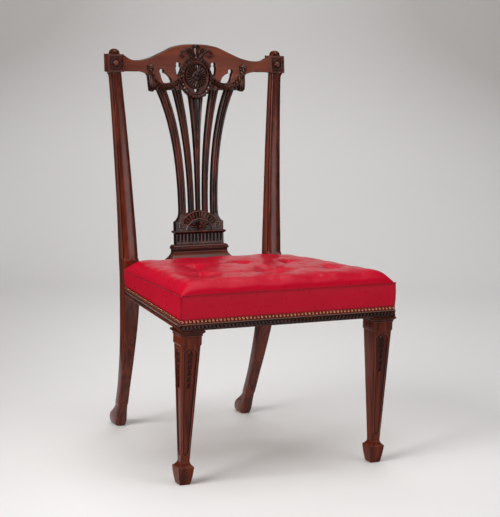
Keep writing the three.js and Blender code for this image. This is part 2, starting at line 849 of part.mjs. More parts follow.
function frontMoulding() {
  const lobes = Math.round(frontHalf / moulding.gadroonPitch);
  const end = frontHalf - gap / 2;
  const places = steps(4 * lobes, -end, end);
  const reach = moulding.reach - gap;
  return loft(places.map((x, i) => {
    const atEnd = i === 0 || i === places.length - 1;
    const ease = Math.min(1, Math.abs(x) / moulding.leanEase, (end - Math.abs(x)) / moulding.leanEase);
    const carve = i % 2 === 0 ? 0 : moulding.gadroonDepth;
    return gadroonShares.map(([outShare, upShare, carved]) => {
      const out = gap + reach * outShare - (carved && !atEnd ? carve : 0);
      const lean = Math.sign(x) * moulding.gadroonLean * ease * (upShare - 0.5);
      const mitre = atEnd ? Math.sign(x) * mitreOut.ox * out : 0;
      return new THREE.Vector3(x + lean + mitre, -out, mouldingBottom + moulding.height * upShare);
    });
  }));
}

function sideMoulding() {
  const reach = moulding.reach - gap;
  const profile = sideStripShares.map(([out, up]) => [gap + reach * out, moulding.height * up]);
  const rear = seat.depth - gap;
  return sweep([
    { x: frontHalf, y: gap / 2, z: mouldingBottom, ...mitreOut },
    { x: frameHalf(rear), y: rear, z: mouldingBottom, ox: 1 / Math.cos(sideTurn), oy: 0 },
  ], profile);
}

// Crest rail

const blockX = stileX(stileTop) + block.outset;
const blockInner = blockX - block.width / 2;
const blockFront = stileY(stileTop) + rakeSlope * (block.middleZ - stileTop) - block.forward;

// Front face of the bowed and raked crest.
function crestFront(x, z) {
  return blockFront + crest.bow * (1 - (x / blockX) ** 2) + rakeSlope * (z - block.middleZ);
}

function onCrest(geometry) {
  return solid(mapped(geometry, (point) => point.setY(point.y + crestFront(point.x, point.z))));
}

function crestTop(x) {
  return crest.dip + crest.rise * through(crestTopShares, Math.abs(x) / blockInner);
}

function lobeBottom(x, grow = 0) {
  const halfWidth = garland.halfWidth + garland.backing + grow;
  const halfHeight = garland.halfHeight + garland.backing + grow;
  const inside = 1 - (x / halfWidth) ** 2;
  return inside > 0 ? garland.z - halfHeight * Math.sqrt(inside) : crest.dip;
}

function crestBottom(x) {
  const share = (Math.abs(x) - crest.fieldHalf) / (crest.fieldEnd - crest.fieldHalf);
  const edge = crest.fieldBottom + (crest.underside - crest.fieldBottom) * straight(undersideShares, share);
  return Math.min(edge, lobeBottom(x));
}

function crestRing(x) {
  const [bottom, top] = [crestBottom(x), crestTop(x)];
  const { edgeRound, backRound } = crest;
  return [
    [0, bottom], [0, top - edgeRound], [edgeRound, top], [crest.depth - backRound, top],
    [crest.depth, top - backRound], [crest.depth, bottom],
  ].map(([y, z]) => new THREE.Vector3(x, y, z));
}

function crestRail() {
  const lobe = garland.halfWidth + garland.backing;
  const half = [
    ...steps(9, 0, lobe), ...steps(5, lobe, crest.fieldHalf).slice(1),
    ...undersideShares.slice(1).map(([share]) => THREE.MathUtils.lerp(crest.fieldHalf, crest.fieldEnd, share)),
    ...steps(5, crest.fieldEnd, blockInner + bury).slice(1),
  ];
  const places = [...half.slice(1).reverse().map((x) => -x), ...half];
  return onCrest(loft(places.map(crestRing)));
}

// Sunk disc with a rim and a ball, on the face of a corner block.
function blockPatera() {
  const rim = block.recessRadius - gap;
  const floor = -bury;
  const profile = [
    [0, floor - bury], [rim, floor - bury], [rim - block.ringWidth / 2, block.ringRise],
    [rim - block.ringWidth, gap], [block.ballRadius, gap], [block.ballRadius * 0.75, block.ballRise * 0.7],
    [0, block.ballRise],
  ].map(([r, h]) => new THREE.Vector2(r, h));
  return new THREE.LatheGeometry(profile, 14)
    .rotateX(Math.PI / 2)
    .translate(blockX, block.recessDepth, block.middleZ);
}

function cornerBlockBody() {
  const front = blockFront - rakeSlope * block.middleZ;
  const rake = (geometry) => solid(mapped(geometry, (point) => point.setY(point.y + front + rakeSlope * point.z)));
  const [x0, x1] = [blockInner, blockX + block.width / 2];
  const [z0, z1] = [block.middleZ - block.height / 2, block.middleZ + block.height / 2];
  const recess = new THREE.CylinderGeometry(block.recessRadius, block.recessRadius, 2 * block.recessDepth, 14)
    .translate(blockX, 0, block.middleZ);
  const ear = new THREE.SphereGeometry(1, 10, 6)
    .scale(block.earRadius, block.earHeight, block.earRadius)
    .rotateX(Math.PI / 2)
    .translate(blockX, block.depth / 2, z1);
  const ball = boss(blockX, z1 + block.earBallRadius, block.earBallRadius, block.earBallRadius, block.earBallRadius)
    .translate(0, block.depth / 2 - block.earRadius, 0);
  const shape = cut(rake(brick(x0, x1, 0, block.depth, z0, z1)), rake(recess));
  return cut(join(shape, rake(blockPatera()), rake(ear), rake(ball)), solid(stileTenon(gap)));
}

// Rings from the middle of the medallion out: radius, relief, and how much a groove sinks it.
function pateraDisc() {
  const rimInner = patera.radius - patera.rimWidth;
  const bands = [
    [gap, patera.bossRelief, 0],
    [patera.petalInner, patera.petalRelief, patera.petalGroove],
    [patera.petalOuter, patera.petalRelief, patera.petalGroove], [rimInner, patera.petalRelief * 0.6, 0],
    [(rimInner + patera.radius) / 2, patera.rimRelief, 0], [patera.radius, patera.rimRelief * 0.4, 0],
    [patera.radius, -bury, 0], [gap, -bury, 0],
  ];
  return loft(bands.map(([radius, relief, groove]) => (
    steps(2 * petalCount, 0, 2 * Math.PI).slice(1).map((turn, i) => new THREE.Vector3(
      radius * Math.cos(turn),
      -(relief - (i % 2) * groove),
      patera.z + radius * Math.sin(turn),
    ))
  )));
}

function garlandForms() {
  return steps(garlandHusks, 0, 2 * Math.PI).slice(1).map((turn) => ridge(
    garland.halfWidth * Math.cos(turn),
    garland.z + garland.halfHeight * Math.sin(turn),
    garland.huskLong,
    garland.huskWide,
    garland.relief,
    Math.PI / 2 - turn,
  ));
}

// Middle line of the right swag, in shares of the run from the garland to the rosette and of its sag.
const swagShares = [[0, 0.56], [0.16, 0.78], [0.38, 0.97], [0.55, 1], [0.72, 0.88], [0.88, 0.55], [1, 0.1]];

function swagForms() {
  const start = garland.halfWidth + garland.backing;
  const top = drop.rosetteZ - drop.rosette * 0.6;
  const low = crest.fieldBottom + swag.huskWide + gap;
  const place = (share) => [
    THREE.MathUtils.lerp(start, drop.rosetteX, share),
    THREE.MathUtils.lerp(top, low, through(swagShares, share)),
  ];
  return steps(swagHusks - 1, 0.04, 0.97).map((share) => {
    const [x, z] = place(share);
    const [xAfter, zAfter] = place(share + 0.02);
    return boss(x, z, swag.huskLong, swag.huskWide, swag.relief, -Math.atan2(zAfter - z, xAfter - x));
  });
}

function dropForms() {
  const fall = drop.top - drop.bottom;
  const folds = [-1, 0, 1].map((side) => {
    const length = fall * (side === 0 ? 0.5 : 0.46);
    return boss(
      drop.x + side * drop.width * 0.3, drop.top - length, drop.width * 0.24, length, drop.relief,
    ).translate(0, drop.relief * 0.4, 0);
  });
  const petals = steps(5, 0, 2 * Math.PI).slice(1).map((turn) => ridge(
    drop.rosetteX + drop.rosette * 0.6 * Math.cos(turn),
    drop.rosetteZ + drop.rosette * 0.6 * Math.sin(turn),
    drop.rosette * 0.6,
    drop.rosette * 0.45,
    drop.relief,
    -turn,
  ));
  const middle = boss(drop.rosetteX, drop.rosetteZ, drop.rosette * 0.3, drop.rosette * 0.3, drop.relief * 1.2);
  return [...folds, ...petals, middle];
}

// Anthemion above the medallion: place, half sizes, relief and turn of its right-hand leaves.
const anthemion = { lift: 0.3, height: 33, reach: 38, relief: 4.2, scrollRadius: 2.6 };
const anthemionBottom = garland.z + garland.halfHeight + anthemion.lift;
const leafShares = [
  [0.2, 0.5, 0.11, 0.34, 0.32], [0.38, 0.42, 0.1, 0.32, 0.75],
];
const scrollShares = [
  [0.2, 0.06], [0.45, 0.1], [0.7, 0.05], [0.92, 0.14], [1.02, 0.34], [0.9, 0.5], [0.78, 0.4], [0.84, 0.28],
];

function anthemionForms() {
  const { height, reach, relief } = anthemion;
  const bottom = anthemionBottom;
  const leaves = leafShares.map(([x, z, wide, tall, turn]) => (
    boss(x * reach, bottom + z * height, wide * reach, tall * height, relief * 0.8, turn)
  ));
  const curve = new THREE.CatmullRomCurve3(
    scrollShares.map(([x, z]) => new THREE.Vector3(x * reach, 0, bottom + z * height)),
  );
  const section = new THREE.Shape(
    arcPoints(0, 0, anthemion.scrollRadius, anthemion.scrollRadius, 0, 1, 5).slice(1)
      .map(([x, y]) => new THREE.Vector2(x, y)),
  );
  const scroll = new THREE.ExtrudeGeometry(section, { extrudePath: curve, steps: 14, bevelEnabled: false });
  return [...leaves, scroll];
}

// Round head over a body of points given in shares.
function holeOutline({ x, z, headRadius, reach, drop: fall }, shares) {
  const head = arcPoints(x, z, headRadius, headRadius, -0.1, 0.6, 8);
  const body = shares.map(([across, down]) => [x - across * reach, z - down * fall]);
  return [...head, ...body.reverse()];
}

function holeTools() {
  return [holeOutline(innerHole, innerHoleShares), holeOutline(outerHole, outerHoleShares)]
    .map((outline) => standing(outline, -overrun, crest.depth + overrun));
}

function slotTool() {
  const middle = (slot.bottom + slot.top) / 2;
  const outline = arcPoints(0, middle, slot.halfWidth, (slot.top - slot.bottom) / 2, 0, 1, 8).slice(1);
  return standing(outline, -overrun, crest.depth + overrun);
}

// Mortise for the tenon of one rib; it leans with the splat.
function splatMortise(rib) {
  const middle = splat.ribFront + splat.thickness / 2;
  const socket = brick(
    rib.headX - splat.tenonWidth / 2 - gap, rib.headX + splat.tenonWidth / 2 + gap,
    middle - splat.tenonThickness / 2 - gap, middle + splat.tenonThickness / 2 + gap,
    crest.fieldBottom - overrun, crest.fieldBottom + splat.tenonHeight + gap,
  );
  return mapped(socket, (point) => point.setY(point.y + splatFront(point.z)));
}

function crestBody() {
  const bothSides = (geometries) => geometries.flatMap((geometry) => [geometry, mirrored(geometry)]);
  const blocks = geometryOf(cornerBlockBody());
  const carved = [
    pateraDisc(),
    ...garlandForms(),
    ...bothSides([...swagForms(), ...dropForms(), ...anthemionForms()]),
    boss(0, anthemionBottom + anthemion.height * 0.55, anthemion.reach * 0.15, anthemion.height * 0.42,
      anthemion.relief),
  ];
  const tenons = bothSides(pairedRibs.map(splatMortise)).map(solid);
  const pierced = cut(crestRail(), [...bothSides(holeTools()), slotTool()].map(onCrest));
  const whole = join(pierced, bothSides([blocks]).map(solid), carved.map(onCrest));
  return cut(whole, tenons);
}

// Splat

const shoeFoot = railTop + leather.seamRise + shoe.footLift; // where the hollow of the shoe ends
const shoeTop = shoeFoot + shoe.height;
const pedestalBottom = shoeTop + gap;
const corniceTop = pedestalBottom + pedestal.friezeHeight;
const shoulderLevel = corniceTop + pedestal.sideHeight;
const throatLevel = shoulderLevel + pedestal.flareRise;
const springLevel = throatLevel + splat.springRise;
const archCentre = corniceTop - pedestal.archDrop;
const fanCentre = corniceTop + pedestal.fanLift;

function splatFront(z) {
  return seat.depth + splat.setback + (splat.lean * (z - splat.levelZ)) / (crest.fieldBottom - splat.levelZ);
}

function ribRing(rib, side, z) {
  const t = (z - springLevel) / (crest.fieldBottom - springLevel);
  const spread = Math.max(t, 0) ** 2 * (1 - rib.bendShare) + Math.max(t, 0) ** 4 * rib.bendShare;
  const x = side * THREE.MathUtils.lerp(rib.footX, rib.headX, spread);
  const half = THREE.MathUtils.lerp(rib.footWidth, rib.headWidth, spread) / 2;
  const front = splat.ribFront;
  const bevel = front + splat.ribRelief;
  const flatShare = 0.5; // of the half width, between the bevels
  return [
    [x - half, bevel], [x - half * flatShare, front], [x + half * flatShare, front], [x + half, bevel],
    [x + half, splat.thickness], [x - half, splat.thickness],
  ].map(([px, py]) => new THREE.Vector3(px, py, z));
}

function ribShapes() {
  const foot = shoulderLevel;
  const head = crest.fieldBottom - gap;
  return [middleRib, ...pairedRibs].flatMap((rib) => (rib === middleRib ? [1] : [1, -1]).map((side) => {
    const shape = loft([foot, ...steps(10, springLevel, head)].map((z) => ribRing(rib, side, z)));
    return solid(shape);
  }));
}

function ribTenons() {
  const middle = splat.ribFront + splat.thickness / 2;
  return pairedRibs.flatMap((rib) => [1, -1].map((side) => solid(brick(
    side * rib.headX - splat.tenonWidth / 2, side * rib.headX + splat.tenonWidth / 2,
    middle - splat.tenonThickness / 2, middle + splat.tenonThickness / 2,
    crest.fieldBottom - overrun, crest.fieldBottom + splat.tenonHeight,
  ))));
}

const archRise = springLevel - archCentre;

function pedestalOutline() {
  const ribEdge = outerRib.footX + outerRib.footWidth / 2;
  const flare = flareShares.map(([inShare, upShare]) => [
    THREE.MathUtils.lerp(pedestal.halfWidth, ribEdge, inShare),
    THREE.MathUtils.lerp(shoulderLevel, throatLevel, upShare),
  ]);
  const arch = arcPoints(0, archCentre, pedestal.archHalf, archRise, 0.14, 0.36, 12);
  const left = flare.map(([x, z]) => [-x, z]).reverse();
  return [[-pedestal.halfWidth, pedestalBottom], [pedestal.halfWidth, pedestalBottom], ...flare, ...arch, ...left];
}

// Band between two ellipses round the lunette's middle.
function archBand(outerHalf, outerRise, width, from, to) {
  const outer = arcPoints(0, archCentre, outerHalf, outerRise, from, to, 14);
  const inner = arcPoints(0, archCentre, outerHalf - width, outerRise - width, to, from, 14);
  return standing([...outer, ...inner], -pedestal.relief, bury);
}

// Bosses laid like rays between two ellipses.
function rays(count, from, to, z, inner, outer, width) {
  return steps(count - 1, from, to).map((turn) => {
    const [cos, sin] = [Math.cos(2 * Math.PI * turn), Math.sin(2 * Math.PI * turn)];
    const [x0, z0] = [inner[0] * cos, inner[1] * sin];
    const [x1, z1] = [outer[0] * cos, outer[1] * sin];
    const length = Math.hypot(x1 - x0, z1 - z0);
    const turned = -Math.atan2(z1 - z0, x1 - x0);
    return ridge((x0 + x1) / 2, z + (z0 + z1) / 2, length / 2, width / 2, pedestal.relief, turned);
  });
}

function lunetteForms() {
  const inner = [pedestal.innerHalf, pedestal.innerRise];
  const reedOuter = [pedestal.archHalf - pedestal.archRim, archRise - pedestal.archRim];
  return [
    archBand(pedestal.archHalf, archRise, pedestal.archRim, 0.07, 0.43),
    archBand(inner[0], inner[1], pedestal.archRim, 0.04, 0.46),
    ...rays(reedCount, 0.08, 0.42, archCentre, inner, reedOuter, pedestal.reedWidth),
    ...rays(fanPetals, 0.05, 0.45, fanCentre, [pedestal.petalWidth, pedestal.petalWidth / 2],
      [pedestal.fanHalf, pedestal.fanRise], pedestal.petalWidth),
    boss(0, fanCentre, pedestal.petalWidth, pedestal.petalWidth / 2, pedestal.relief * 1.4),
  ];
}

// Squared key beside the lunette: three sides of a square and a short return.
function keyForms() {
  const { keySize: size, keyBar: bar, keyX: x } = pedestal;
  const z = shoulderLevel - pedestal.keyDrop;
  const half = size / 2;
  return [
    [x - half, x + half, z + half - bar, z + half],
    [x - half, x + half, z - half, z - half + bar],
    [x + half - bar, x + half, z - half, z + half],
    [x - half, x - half + bar, z - half, z + bar],
    [x - half, x + bar / 2, z, z + bar],
  ].map(([x0, x1, z0, z1]) => brick(x0, x1, -pedestal.relief / 2, bury, z0, z1));
}

function corniceShape() {
  const { halfWidth, corniceReach: reach, corniceHeight: height, corniceFront: front } = pedestal;
  const top = corniceTop;
  const ring = (z, out) => [
    [-halfWidth - out, -front * (out / reach)], [halfWidth + out, -front * (out / reach)],
    [halfWidth + out, splat.thickness], [-halfWidth - out, splat.thickness],
  ].map(([x, y]) => new THREE.Vector3(x, y, z));
  return loft([
    ring(top - height - bury, gap), ring(top - height, reach / 2), ring(top - height / 2, reach),
    ring(top, reach / 2), ring(top + gap, gap),
  ]);
}

function fluteTools() {
  const { fluteWidth: width, fluteHeight: height } = pedestal;
  const top = corniceTop - pedestal.fluteDrop;
  return steps(fluteCount - 1, -1, 1).map((share) => {
    const x = (share * (fluteCount - 1) * pedestal.flutePitch) / 2;
    const outline = [
      [x + width / 2, top], [x - width / 2, top],
      ...arcPoints(x, top - height + width / 2, width / 2, width / 2, 0.5, 1, 4),
    ];
    return standing(outline, -overrun, pedestal.fluteDepth);
  });
}

function splatBody() {
  const plate = standing(pedestalOutline(), 0, splat.thickness);
  const tongue = brick(
    -pedestal.tenonWidth / 2, pedestal.tenonWidth / 2, splat.ribRelief, splat.thickness - splat.ribRelief,
    pedestalBottom - pedestal.tenonHeight, pedestalBottom + bury,
  );
  const keys = keyForms();
  const raised = [corniceShape(), ...lunetteForms(), ...keys, ...keys.map(mirrored)];
  const lobe = steps(16, -1, 1).map((share) => {
    const x = share * (garland.halfWidth + garland.backing);
    return [x, lobeBottom(x, gap)];
  });
  const overLobe = standing([...lobe, [lobe[16][0], crestTop(0)], [lobe[0][0], crestTop(0)]], -overrun,
    splat.thickness + overrun);
  const flat = join(
    cut(solid(plate), fluteTools().map(solid)),
    cut(join(...ribShapes()), solid(overLobe)),
    ribTenons(),
    raised.map(solid),
    solid(tongue),
  );
  return mapped(geometryOf(flat), (point) => point.setY(point.y + splatFront(point.z)));
}

// Splat shoe


function shoeRing(z, reach) {
  const half = pedestal.halfWidth + reach;
  const front = splatFront(z) - reach * shoeFrontShare;
  const back = splatFront(z) + splat.thickness + shoe.backReach;
  return squareRing([-half, half, front, back], z);
}

function shoeShape() {
  const ovoloBottom = shoeTop - shoe.ovoloHeight;
  const neck = ovoloBottom - shoe.neckHeight;
  const hollow = steps(4, 0, 1).map((share) => shoeRing(
    THREE.MathUtils.lerp(neck, shoeFoot, share),
    THREE.MathUtils.lerp(shoe.neckReach, shoe.footReach, share * share),
  ));
  const foot = hollow[hollow.length - 1].map((point) => point.clone().setZ(railTop + gap));
  return loft([
    shoeRing(shoeTop, gap),
    shoeRing(shoeTop - gap, shoe.ovoloReach / 3),
    shoeRing(shoeTop - shoe.ovoloHeight / 2, shoe.ovoloReach * 0.9),
    shoeRing(ovoloBottom + bury, shoe.ovoloReach),
    shoeRing(ovoloBottom, shoe.ovoloReach),
    shoeRing(ovoloBottom - bury, shoe.neckReach),
    ...hollow,
    foot,
  ]);
}

function shoeBody() {
  const level = shoeTop - shoe.ovoloHeight / 2 - shoe.beadRadius;
  const half = pedestal.halfWidth + shoe.ovoloReach - shoe.beadPitch / 2;
  const count = Math.round((2 * half) / shoe.beadPitch);
  const front = splatFront(level) - shoe.ovoloReach * shoeFrontShare;
  const beads = steps(count, -half, half).map((x) => (
    ridge(x, level, shoe.beadPitch / 2 - gap / 2, shoe.beadRadius, shoe.beadRadius).translate(0, front, 0)
  ));
  const grow = pedestal.tenonWidth / 2 + gap;
  const mortise = brick(
    -grow, grow, splat.ribRelief - gap, splat.thickness - splat.ribRelief + gap,
    pedestalBottom - pedestal.tenonHeight - gap, pedestalBottom + overrun,
  );
  const leaning = mapped(mortise, (point) => point.setY(point.y + splatFront(point.z)));
  return cut(join(solid(shoeShape()), beads.map(solid)), solid(leaning));
}

// Seat upholstery

const shoeFront = splatFront(shoeFoot) - shoe.footReach * shoeFrontShare;
const middleDepth = shoeFront - gap;
const skirtOut = gap + leather.thickness;
const nailTop = mouldingTop + nail.level + nail.diameter / 2 + gap;

function seamHeight(y) {
  return railTop + leather.seamRise - (leather.seamFall * y) / seat.depth;
}

// Columns of the seat's grid run from side to side, with a jog where they pass the stiles.
const jogX = stileX(railTop) - stile.width / 2 - leather.stileClearance;
const jogShare = jogX / (seat.rearWidth / 2 + leather.sideOverhang + skirtOut / Math.cos(sideTurn));
const seatColumns = (() => {
  const edge = 1 - jogShare;
  const outer = [0.08, 0.45, 0.72, 0.9, 1].map((share) => jogShare + edge * share);
  const right = [...steps(7, 0, jogShare).slice(1), ...outer];
  return [...right.slice().reverse().map((share) => -share), 0, ...right];
})();
const seatRows = [
  0, 0.008, 0.03, 0.06, 0.1, 0.16, 0.23, 0.3, 0.37, 0.44, 0.51, 0.58, 0.65, 0.72, 0.79, 0.86, 0.93, 1,
];

// Height of a rounded shoulder, as a share, at a distance in from its foot.
function shoulderShare(distance, run) {
  const left = 1 - Math.min(distance / run, 1);
  return Math.sqrt(1 - left * left);
}

function tuftSink(x, y) {
  return tuftShares.reduce((sum, [across, back]) => {
    const depth = back * seat.depth;
    const distance = Math.hypot(x - across * frameHalf(depth), y - depth);
    return sum + leather.tuftDepth * Math.exp(-((distance / leather.tuftRadius) ** 2));
  }, 0);
}

function seatHeight(x, y, half) {
  const side = shoulderShare(half - Math.abs(x), leather.shoulder);
  const front = shoulderShare(Math.max(y, 0), leather.shoulder);
  const rear = shoulderShare(Math.max(seat.depth - y, 0), leather.rearRun);
  const crown = leather.crown * THREE.MathUtils.lerp(rearCrownShare, 1, rear);
  const along = THREE.MathUtils.clamp(y / seat.depth, 0, 1);
  const dome = 4 * leather.dome * along * (1 - along) * (1 - (x / half) ** 2);
  return seamHeight(y) + (crown + dome - tuftSink(x, y)) * side * front;
}

function overhang(y) {
  return (leather.sideOverhang * Math.max(y, 0)) / seat.depth;
}

// Top of the seat: a grid point at a distance out from the rails and down from the outer face.
function seatPoint(column, row, out, down) {
  const rear = Math.abs(column) > jogShare + jogShare / 1000 ? seat.depth : middleDepth;
  const y = THREE.MathUtils.lerp(-out, rear, row);
  const half = frameHalf(y) + out / Math.cos(sideTurn) + overhang(y);
  return new THREE.Vector3(column * half, y, seatHeight(column * half, y, half) - down);
}

function seatGrid(out, down) {
  return seatRows.flatMap((row) => seatColumns.map((column) => seatPoint(column, row, out, down)));
}

function gridFaces(rowCount, width) {
  return steps(rowCount - 2, 0, rowCount - 2).flatMap((r) => steps(width - 2, 0, width - 2).flatMap((c) => {
    const a = r * width + c;
    return [[a, a + 1, a + width + 1], [a, a + width + 1, a + width]];
  }));
}

// Grid numbers of the seam: along the left side, the front and the right side.
function seamNumbers() {
  const width = seatColumns.length;
  const left = seatRows.map((_, r) => r * width).reverse();
  const front = seatColumns.map((_, c) => c).slice(1);
  const right = seatRows.slice(1).map((_, r) => (r + 1) * width + width - 1);
  return [...left, ...front, ...right];
}

// Outward direction in plan at a seam point, mitred at the front corners.
function seamOut(point, isFront, isCorner) {
  const side = Math.sign(point.x);
  if (isCorner) return [side * mitreOut.ox, mitreOut.oy];
  return isFront ? [0, -1] : [side / Math.cos(sideTurn), 0];
}

function seamStops(grid) {
  const width = seatColumns.length;
  return seamNumbers().map((number) => {
    const isCorner = number === 0 || number === width - 1;
    const [ox, oy] = seamOut(grid[number], number < width, isCorner);
    return { number, x: grid[number].x, y: grid[number].y, z: grid[number].z, ox, oy };
  });
}

function leatherSheet(out, down, skirtOutHere) {
  const grid = seatGrid(out, down);
  const stops = seamStops(grid);
  const hem = mouldingTop + leather.hem;
  const skirt = [nailTop, hem].flatMap((z) => stops.map((stop) => {
    const shift = skirtOutHere - out - overhang(stop.y);
    return new THREE.Vector3(stop.x + stop.ox * shift, stop.y + stop.oy * shift, z);
  }));
  return { points: [...grid, ...skirt], stops };
}

function skirtFaces(stops) {
  const base = seatColumns.length * seatRows.length;
  const count = stops.length;
  const number = (row, i) => (row === 0 ? stops[i].number : base + (row - 1) * count + i);
  return [0, 1].flatMap((row) => stops.slice(1).flatMap((_, i) => {
    const [a, b, c, d] = [number(row, i), number(row, i + 1), number(row + 1, i + 1), number(row + 1, i)];
    return [[a, c, b], [a, d, c]];
  }));
}

function leatherCover() {
  const outer = leatherSheet(skirtOut, 0, skirtOut);
  const inner = leatherSheet(gap, leather.thickness, gap);
  const faces = gridFaces(seatRows.length, seatColumns.length);
  return thicken(outer.points, inner.points, [...faces, ...skirtFaces(outer.stops)]);
}

const lowStrapTop = railTop + gap + strap.thickness;
const highStrapTop = lowStrapTop + gap + strap.thickness;
const hessianTop = highStrapTop + gap + hessian.thickness;

// Stuffing: every second line of the cover's grid, kept clear of its inner face.
function stuffing() {
  const clear = leather.thickness + stuffingSlack;
  const isKept = (_, i) => i % 2 === 0;
  const columns = seatColumns.filter(isKept);
  const rows = seatRows.filter(isKept);
  const width = columns.length;
  const pointAt = (r, c) => seatPoint(seatColumns[c], seatRows[r], -leather.sideOverhang, clear);
  const around = (i, list) => [Math.max(i - 1, 0), i, Math.min(i + 1, list.length - 1)];
  const lowest = (r, c) => Math.min(
    ...around(r, seatRows).flatMap((i) => around(c, seatColumns).map((j) => pointAt(i, j).z)),
  );
  const grid = rows.flatMap((_, r) => columns.map((__, c) => pointAt(2 * r, 2 * c).setZ(lowest(2 * r, 2 * c))));
  const count = grid.length;
  const bottom = grid.map((point) => point.clone().setZ(hessianTop + gap));
  const edge = [
    ...columns.map((_, c) => c),
    ...rows.slice(1).map((_, r) => (r + 1) * width + width - 1),
    ...columns.slice(1).map((_, c) => count - 2 - c),
    ...rows.slice(1, -1).map((_, r) => count - width * (r + 2)),
  ];
  const index = gridFaces(rows.length, width).flatMap(([a, b, c]) => (
    [a, b, c, a + count, c + count, b + count]
  ));
  edge.forEach((a, i) => {
    const b = edge[(i + 1) % edge.length];
    index.push(b, a, a + count, b, a + count, b + count);
  });
  return facingOut([...grid, ...bottom], index);
}

function weltTube() {
  const stops = seamStops(seatGrid(skirtOut, 0));
  const away = (welt.radius + gap) * Math.SQRT1_2;
  const profile = arcPoints(away, away + gap, welt.radius, welt.radius, 0, 1, 5).slice(1);
  return sweep(stops, profile);
}

function hessianSheet() {
  const front = hessian.inset;
  const rear = rearRailFront + strap.rearLap;
  const back = seat.depth - gap;
  const half = (y) => frameHalf(y) - hessian.inset;
  const notch = jogShare * frameHalf(seat.depth);
  const right = [[half(front), front], [half(back), back], [notch, back], [notch, rear]];
  const left = right.map(([x, y]) => [-x, y]).reverse();
  return lying([...right, ...left], hessianTop - hessian.thickness, hessianTop);
}

// Strap along X or Y with its ends on the rails; it rises over every second strap that it crosses.
function strapShape(alongX, middle, from, to, crossings, startsHigh) {
  const low = railTop + gap;
  const rise = gap + strap.thickness;
  const ramp = strap.width / 5;
  const half = strap.width / 2;
  const stations = [[from, low]];
  crossings.forEach((place, i) => {
    const level = (i % 2 === 0) === startsHigh ? low + rise : low;
    stations.push([place - half - ramp, low], [place - half + gap, level], [place + half - gap, level],
      [place + half + ramp, low]);
  });
  stations.push([to, low]);
  const rings = stations.map(([place, z]) => [[-half, 0], [half, 0], [half, strap.thickness], [-half, strap.thickness]]
    .map(([side, up]) => (alongX
      ? new THREE.Vector3(place, middle + side, z + up)
      : new THREE.Vector3(middle + side, place, z + up))));
  return loft(rings);
}

function lengthwiseStraps() {
  const between = frameHalf(seat.depth) - railRun;
  return strapXShares.map((share, i) => strapShape(
    false, share * between, rail.thickness - strap.lap, rearRailFront + strap.rearLap,
    strapYShares.map((place) => place * seat.depth), i % 2 === 0,
  ));
}

function crosswiseStraps() {
  const between = frameHalf(seat.depth) - railRun;
  return strapYShares.map((share, i) => {
    const y = share * seat.depth;
    const reach = frameHalf(y + strap.width) - railRun + strap.lap;
    return strapShape(true, y, -reach, reach, strapXShares.map((place) => place * between), i % 2 !== 0);
  });
}

// Row of domed nails: heads joined at their rims, along a line with an outward direction.
function nailRow(from, to, out) {
  const length = Math.hypot(to[0] - from[0], to[1] - from[1]);
  const count = Math.round(length / nail.pitch);
  const half = nail.diameter / 2;
  const headShares = [[0, -1], [1, 0], [0, 1]];
  const rimShare = 0.4;
  const rings = steps(2 * count, 0, 1).map((share, i) => {
    const scale = i % 2 === 0 ? rimShare : 1;
    const x = THREE.MathUtils.lerp(from[0], to[0], share);
    const y = THREE.MathUtils.lerp(from[1], to[1], share);
    return headShares.map(([rise, up]) => new THREE.Vector3(
      x + out[0] * nail.rise * rise * scale,
      y + out[1] * nail.rise * rise * scale,
      mouldingTop + nail.level + half * up * scale,
    ));
  });
  return loft(rings);
}

const nailOut = skirtOut + gap;

function frontNails() {
  const half = frontHalf + nailOut - nail.rise;
  return nailRow([-half, -nailOut], [half, -nailOut], [0, -1]);
}

function sideNails() {
  const start = nail.diameter / 2 - nailOut;
  const end = seat.depth - gap;
  const place = (y) => [frameHalf(y) + nailOut / Math.cos(sideTurn), y];
  return nailRow(place(start), place(end), [sideOut.ox, sideOut.oy]);
}

// Materials

function surface(colour, roughness, metalness = 0) {
  return new THREE.MeshStandardMaterial({ color: colour, roughness, metalness });
}

const mahogany = surface(0x5a2318, 0.32);
const beech = surface(0xb98a5a, 0.7);
const crimsonLeather = surface(0xb0152a, 0.42);
const brass = surface(0xb08040, 0.35, 1);
const jute = surface(0x9a7b4c, 0.95);
const horsehair = surface(0x2c2622, 0.95);

// Assembly

const chair = new THREE.Group();

function add(name, geometry, material) {
  const mesh = new THREE.Mesh(sound(geometry), material);
  mesh.name = name;
  chair.add(mesh);
}

function addPair(name, geometry, material) {
  add(`right_${name}`, geometry, material);
  add(`left_${name}`, mirrored(geometry), material);
}

addPair('stile', geometryOf(stileBody()), mahogany);
addPair('front_leg', geometryOf(frontLeg()), mahogany);
add('crest_rail', geometryOf(crestBody()), mahogany);
add('splat', splatBody(), mahogany);
add('splat_shoe', geometryOf(shoeBody()), mahogany);
add('front_moulding', frontMoulding(), mahogany);
addPair('side_moulding', sideMoulding(), mahogany);
add('front_rail', geometryOf(frontRail()), beech);
addPair('side_rail', geometryOf(sideRail()), beech);
add('rear_rail', geometryOf(rearRail()), mahogany);
addPair('front_corner_block', cornerBlockShape(frontCornerPlan()), beech);
addPair('rear_corner_block', cornerBlockShape(rearCornerPlan()), beech);
lengthwiseStraps().forEach((shape, i) => add(`webbing_lengthwise_${i + 1}`, shape, jute));
crosswiseStraps().forEach((shape, i) => add(`webbing_crosswise_${i + 1}`, shape, jute));
add('hessian', hessianSheet(), jute);
add('stuffing', stuffing(), horsehair);
add('leather_cover', leatherCover(), crimsonLeather);
add('seam_welt', weltTube(), crimsonLeather);
add('front_nails', frontNails(), brass);
addPair('side_nails', sideNails(), brass);

// The origin is on the floor, under the middle of the chair's outer box.
const bounds = new THREE.Box3().setFromObject(chair);
chair.position.y = -(bounds.min.y + bounds.max.y) / 2;
chair.updateMatrixWorld(true);

export default chair;
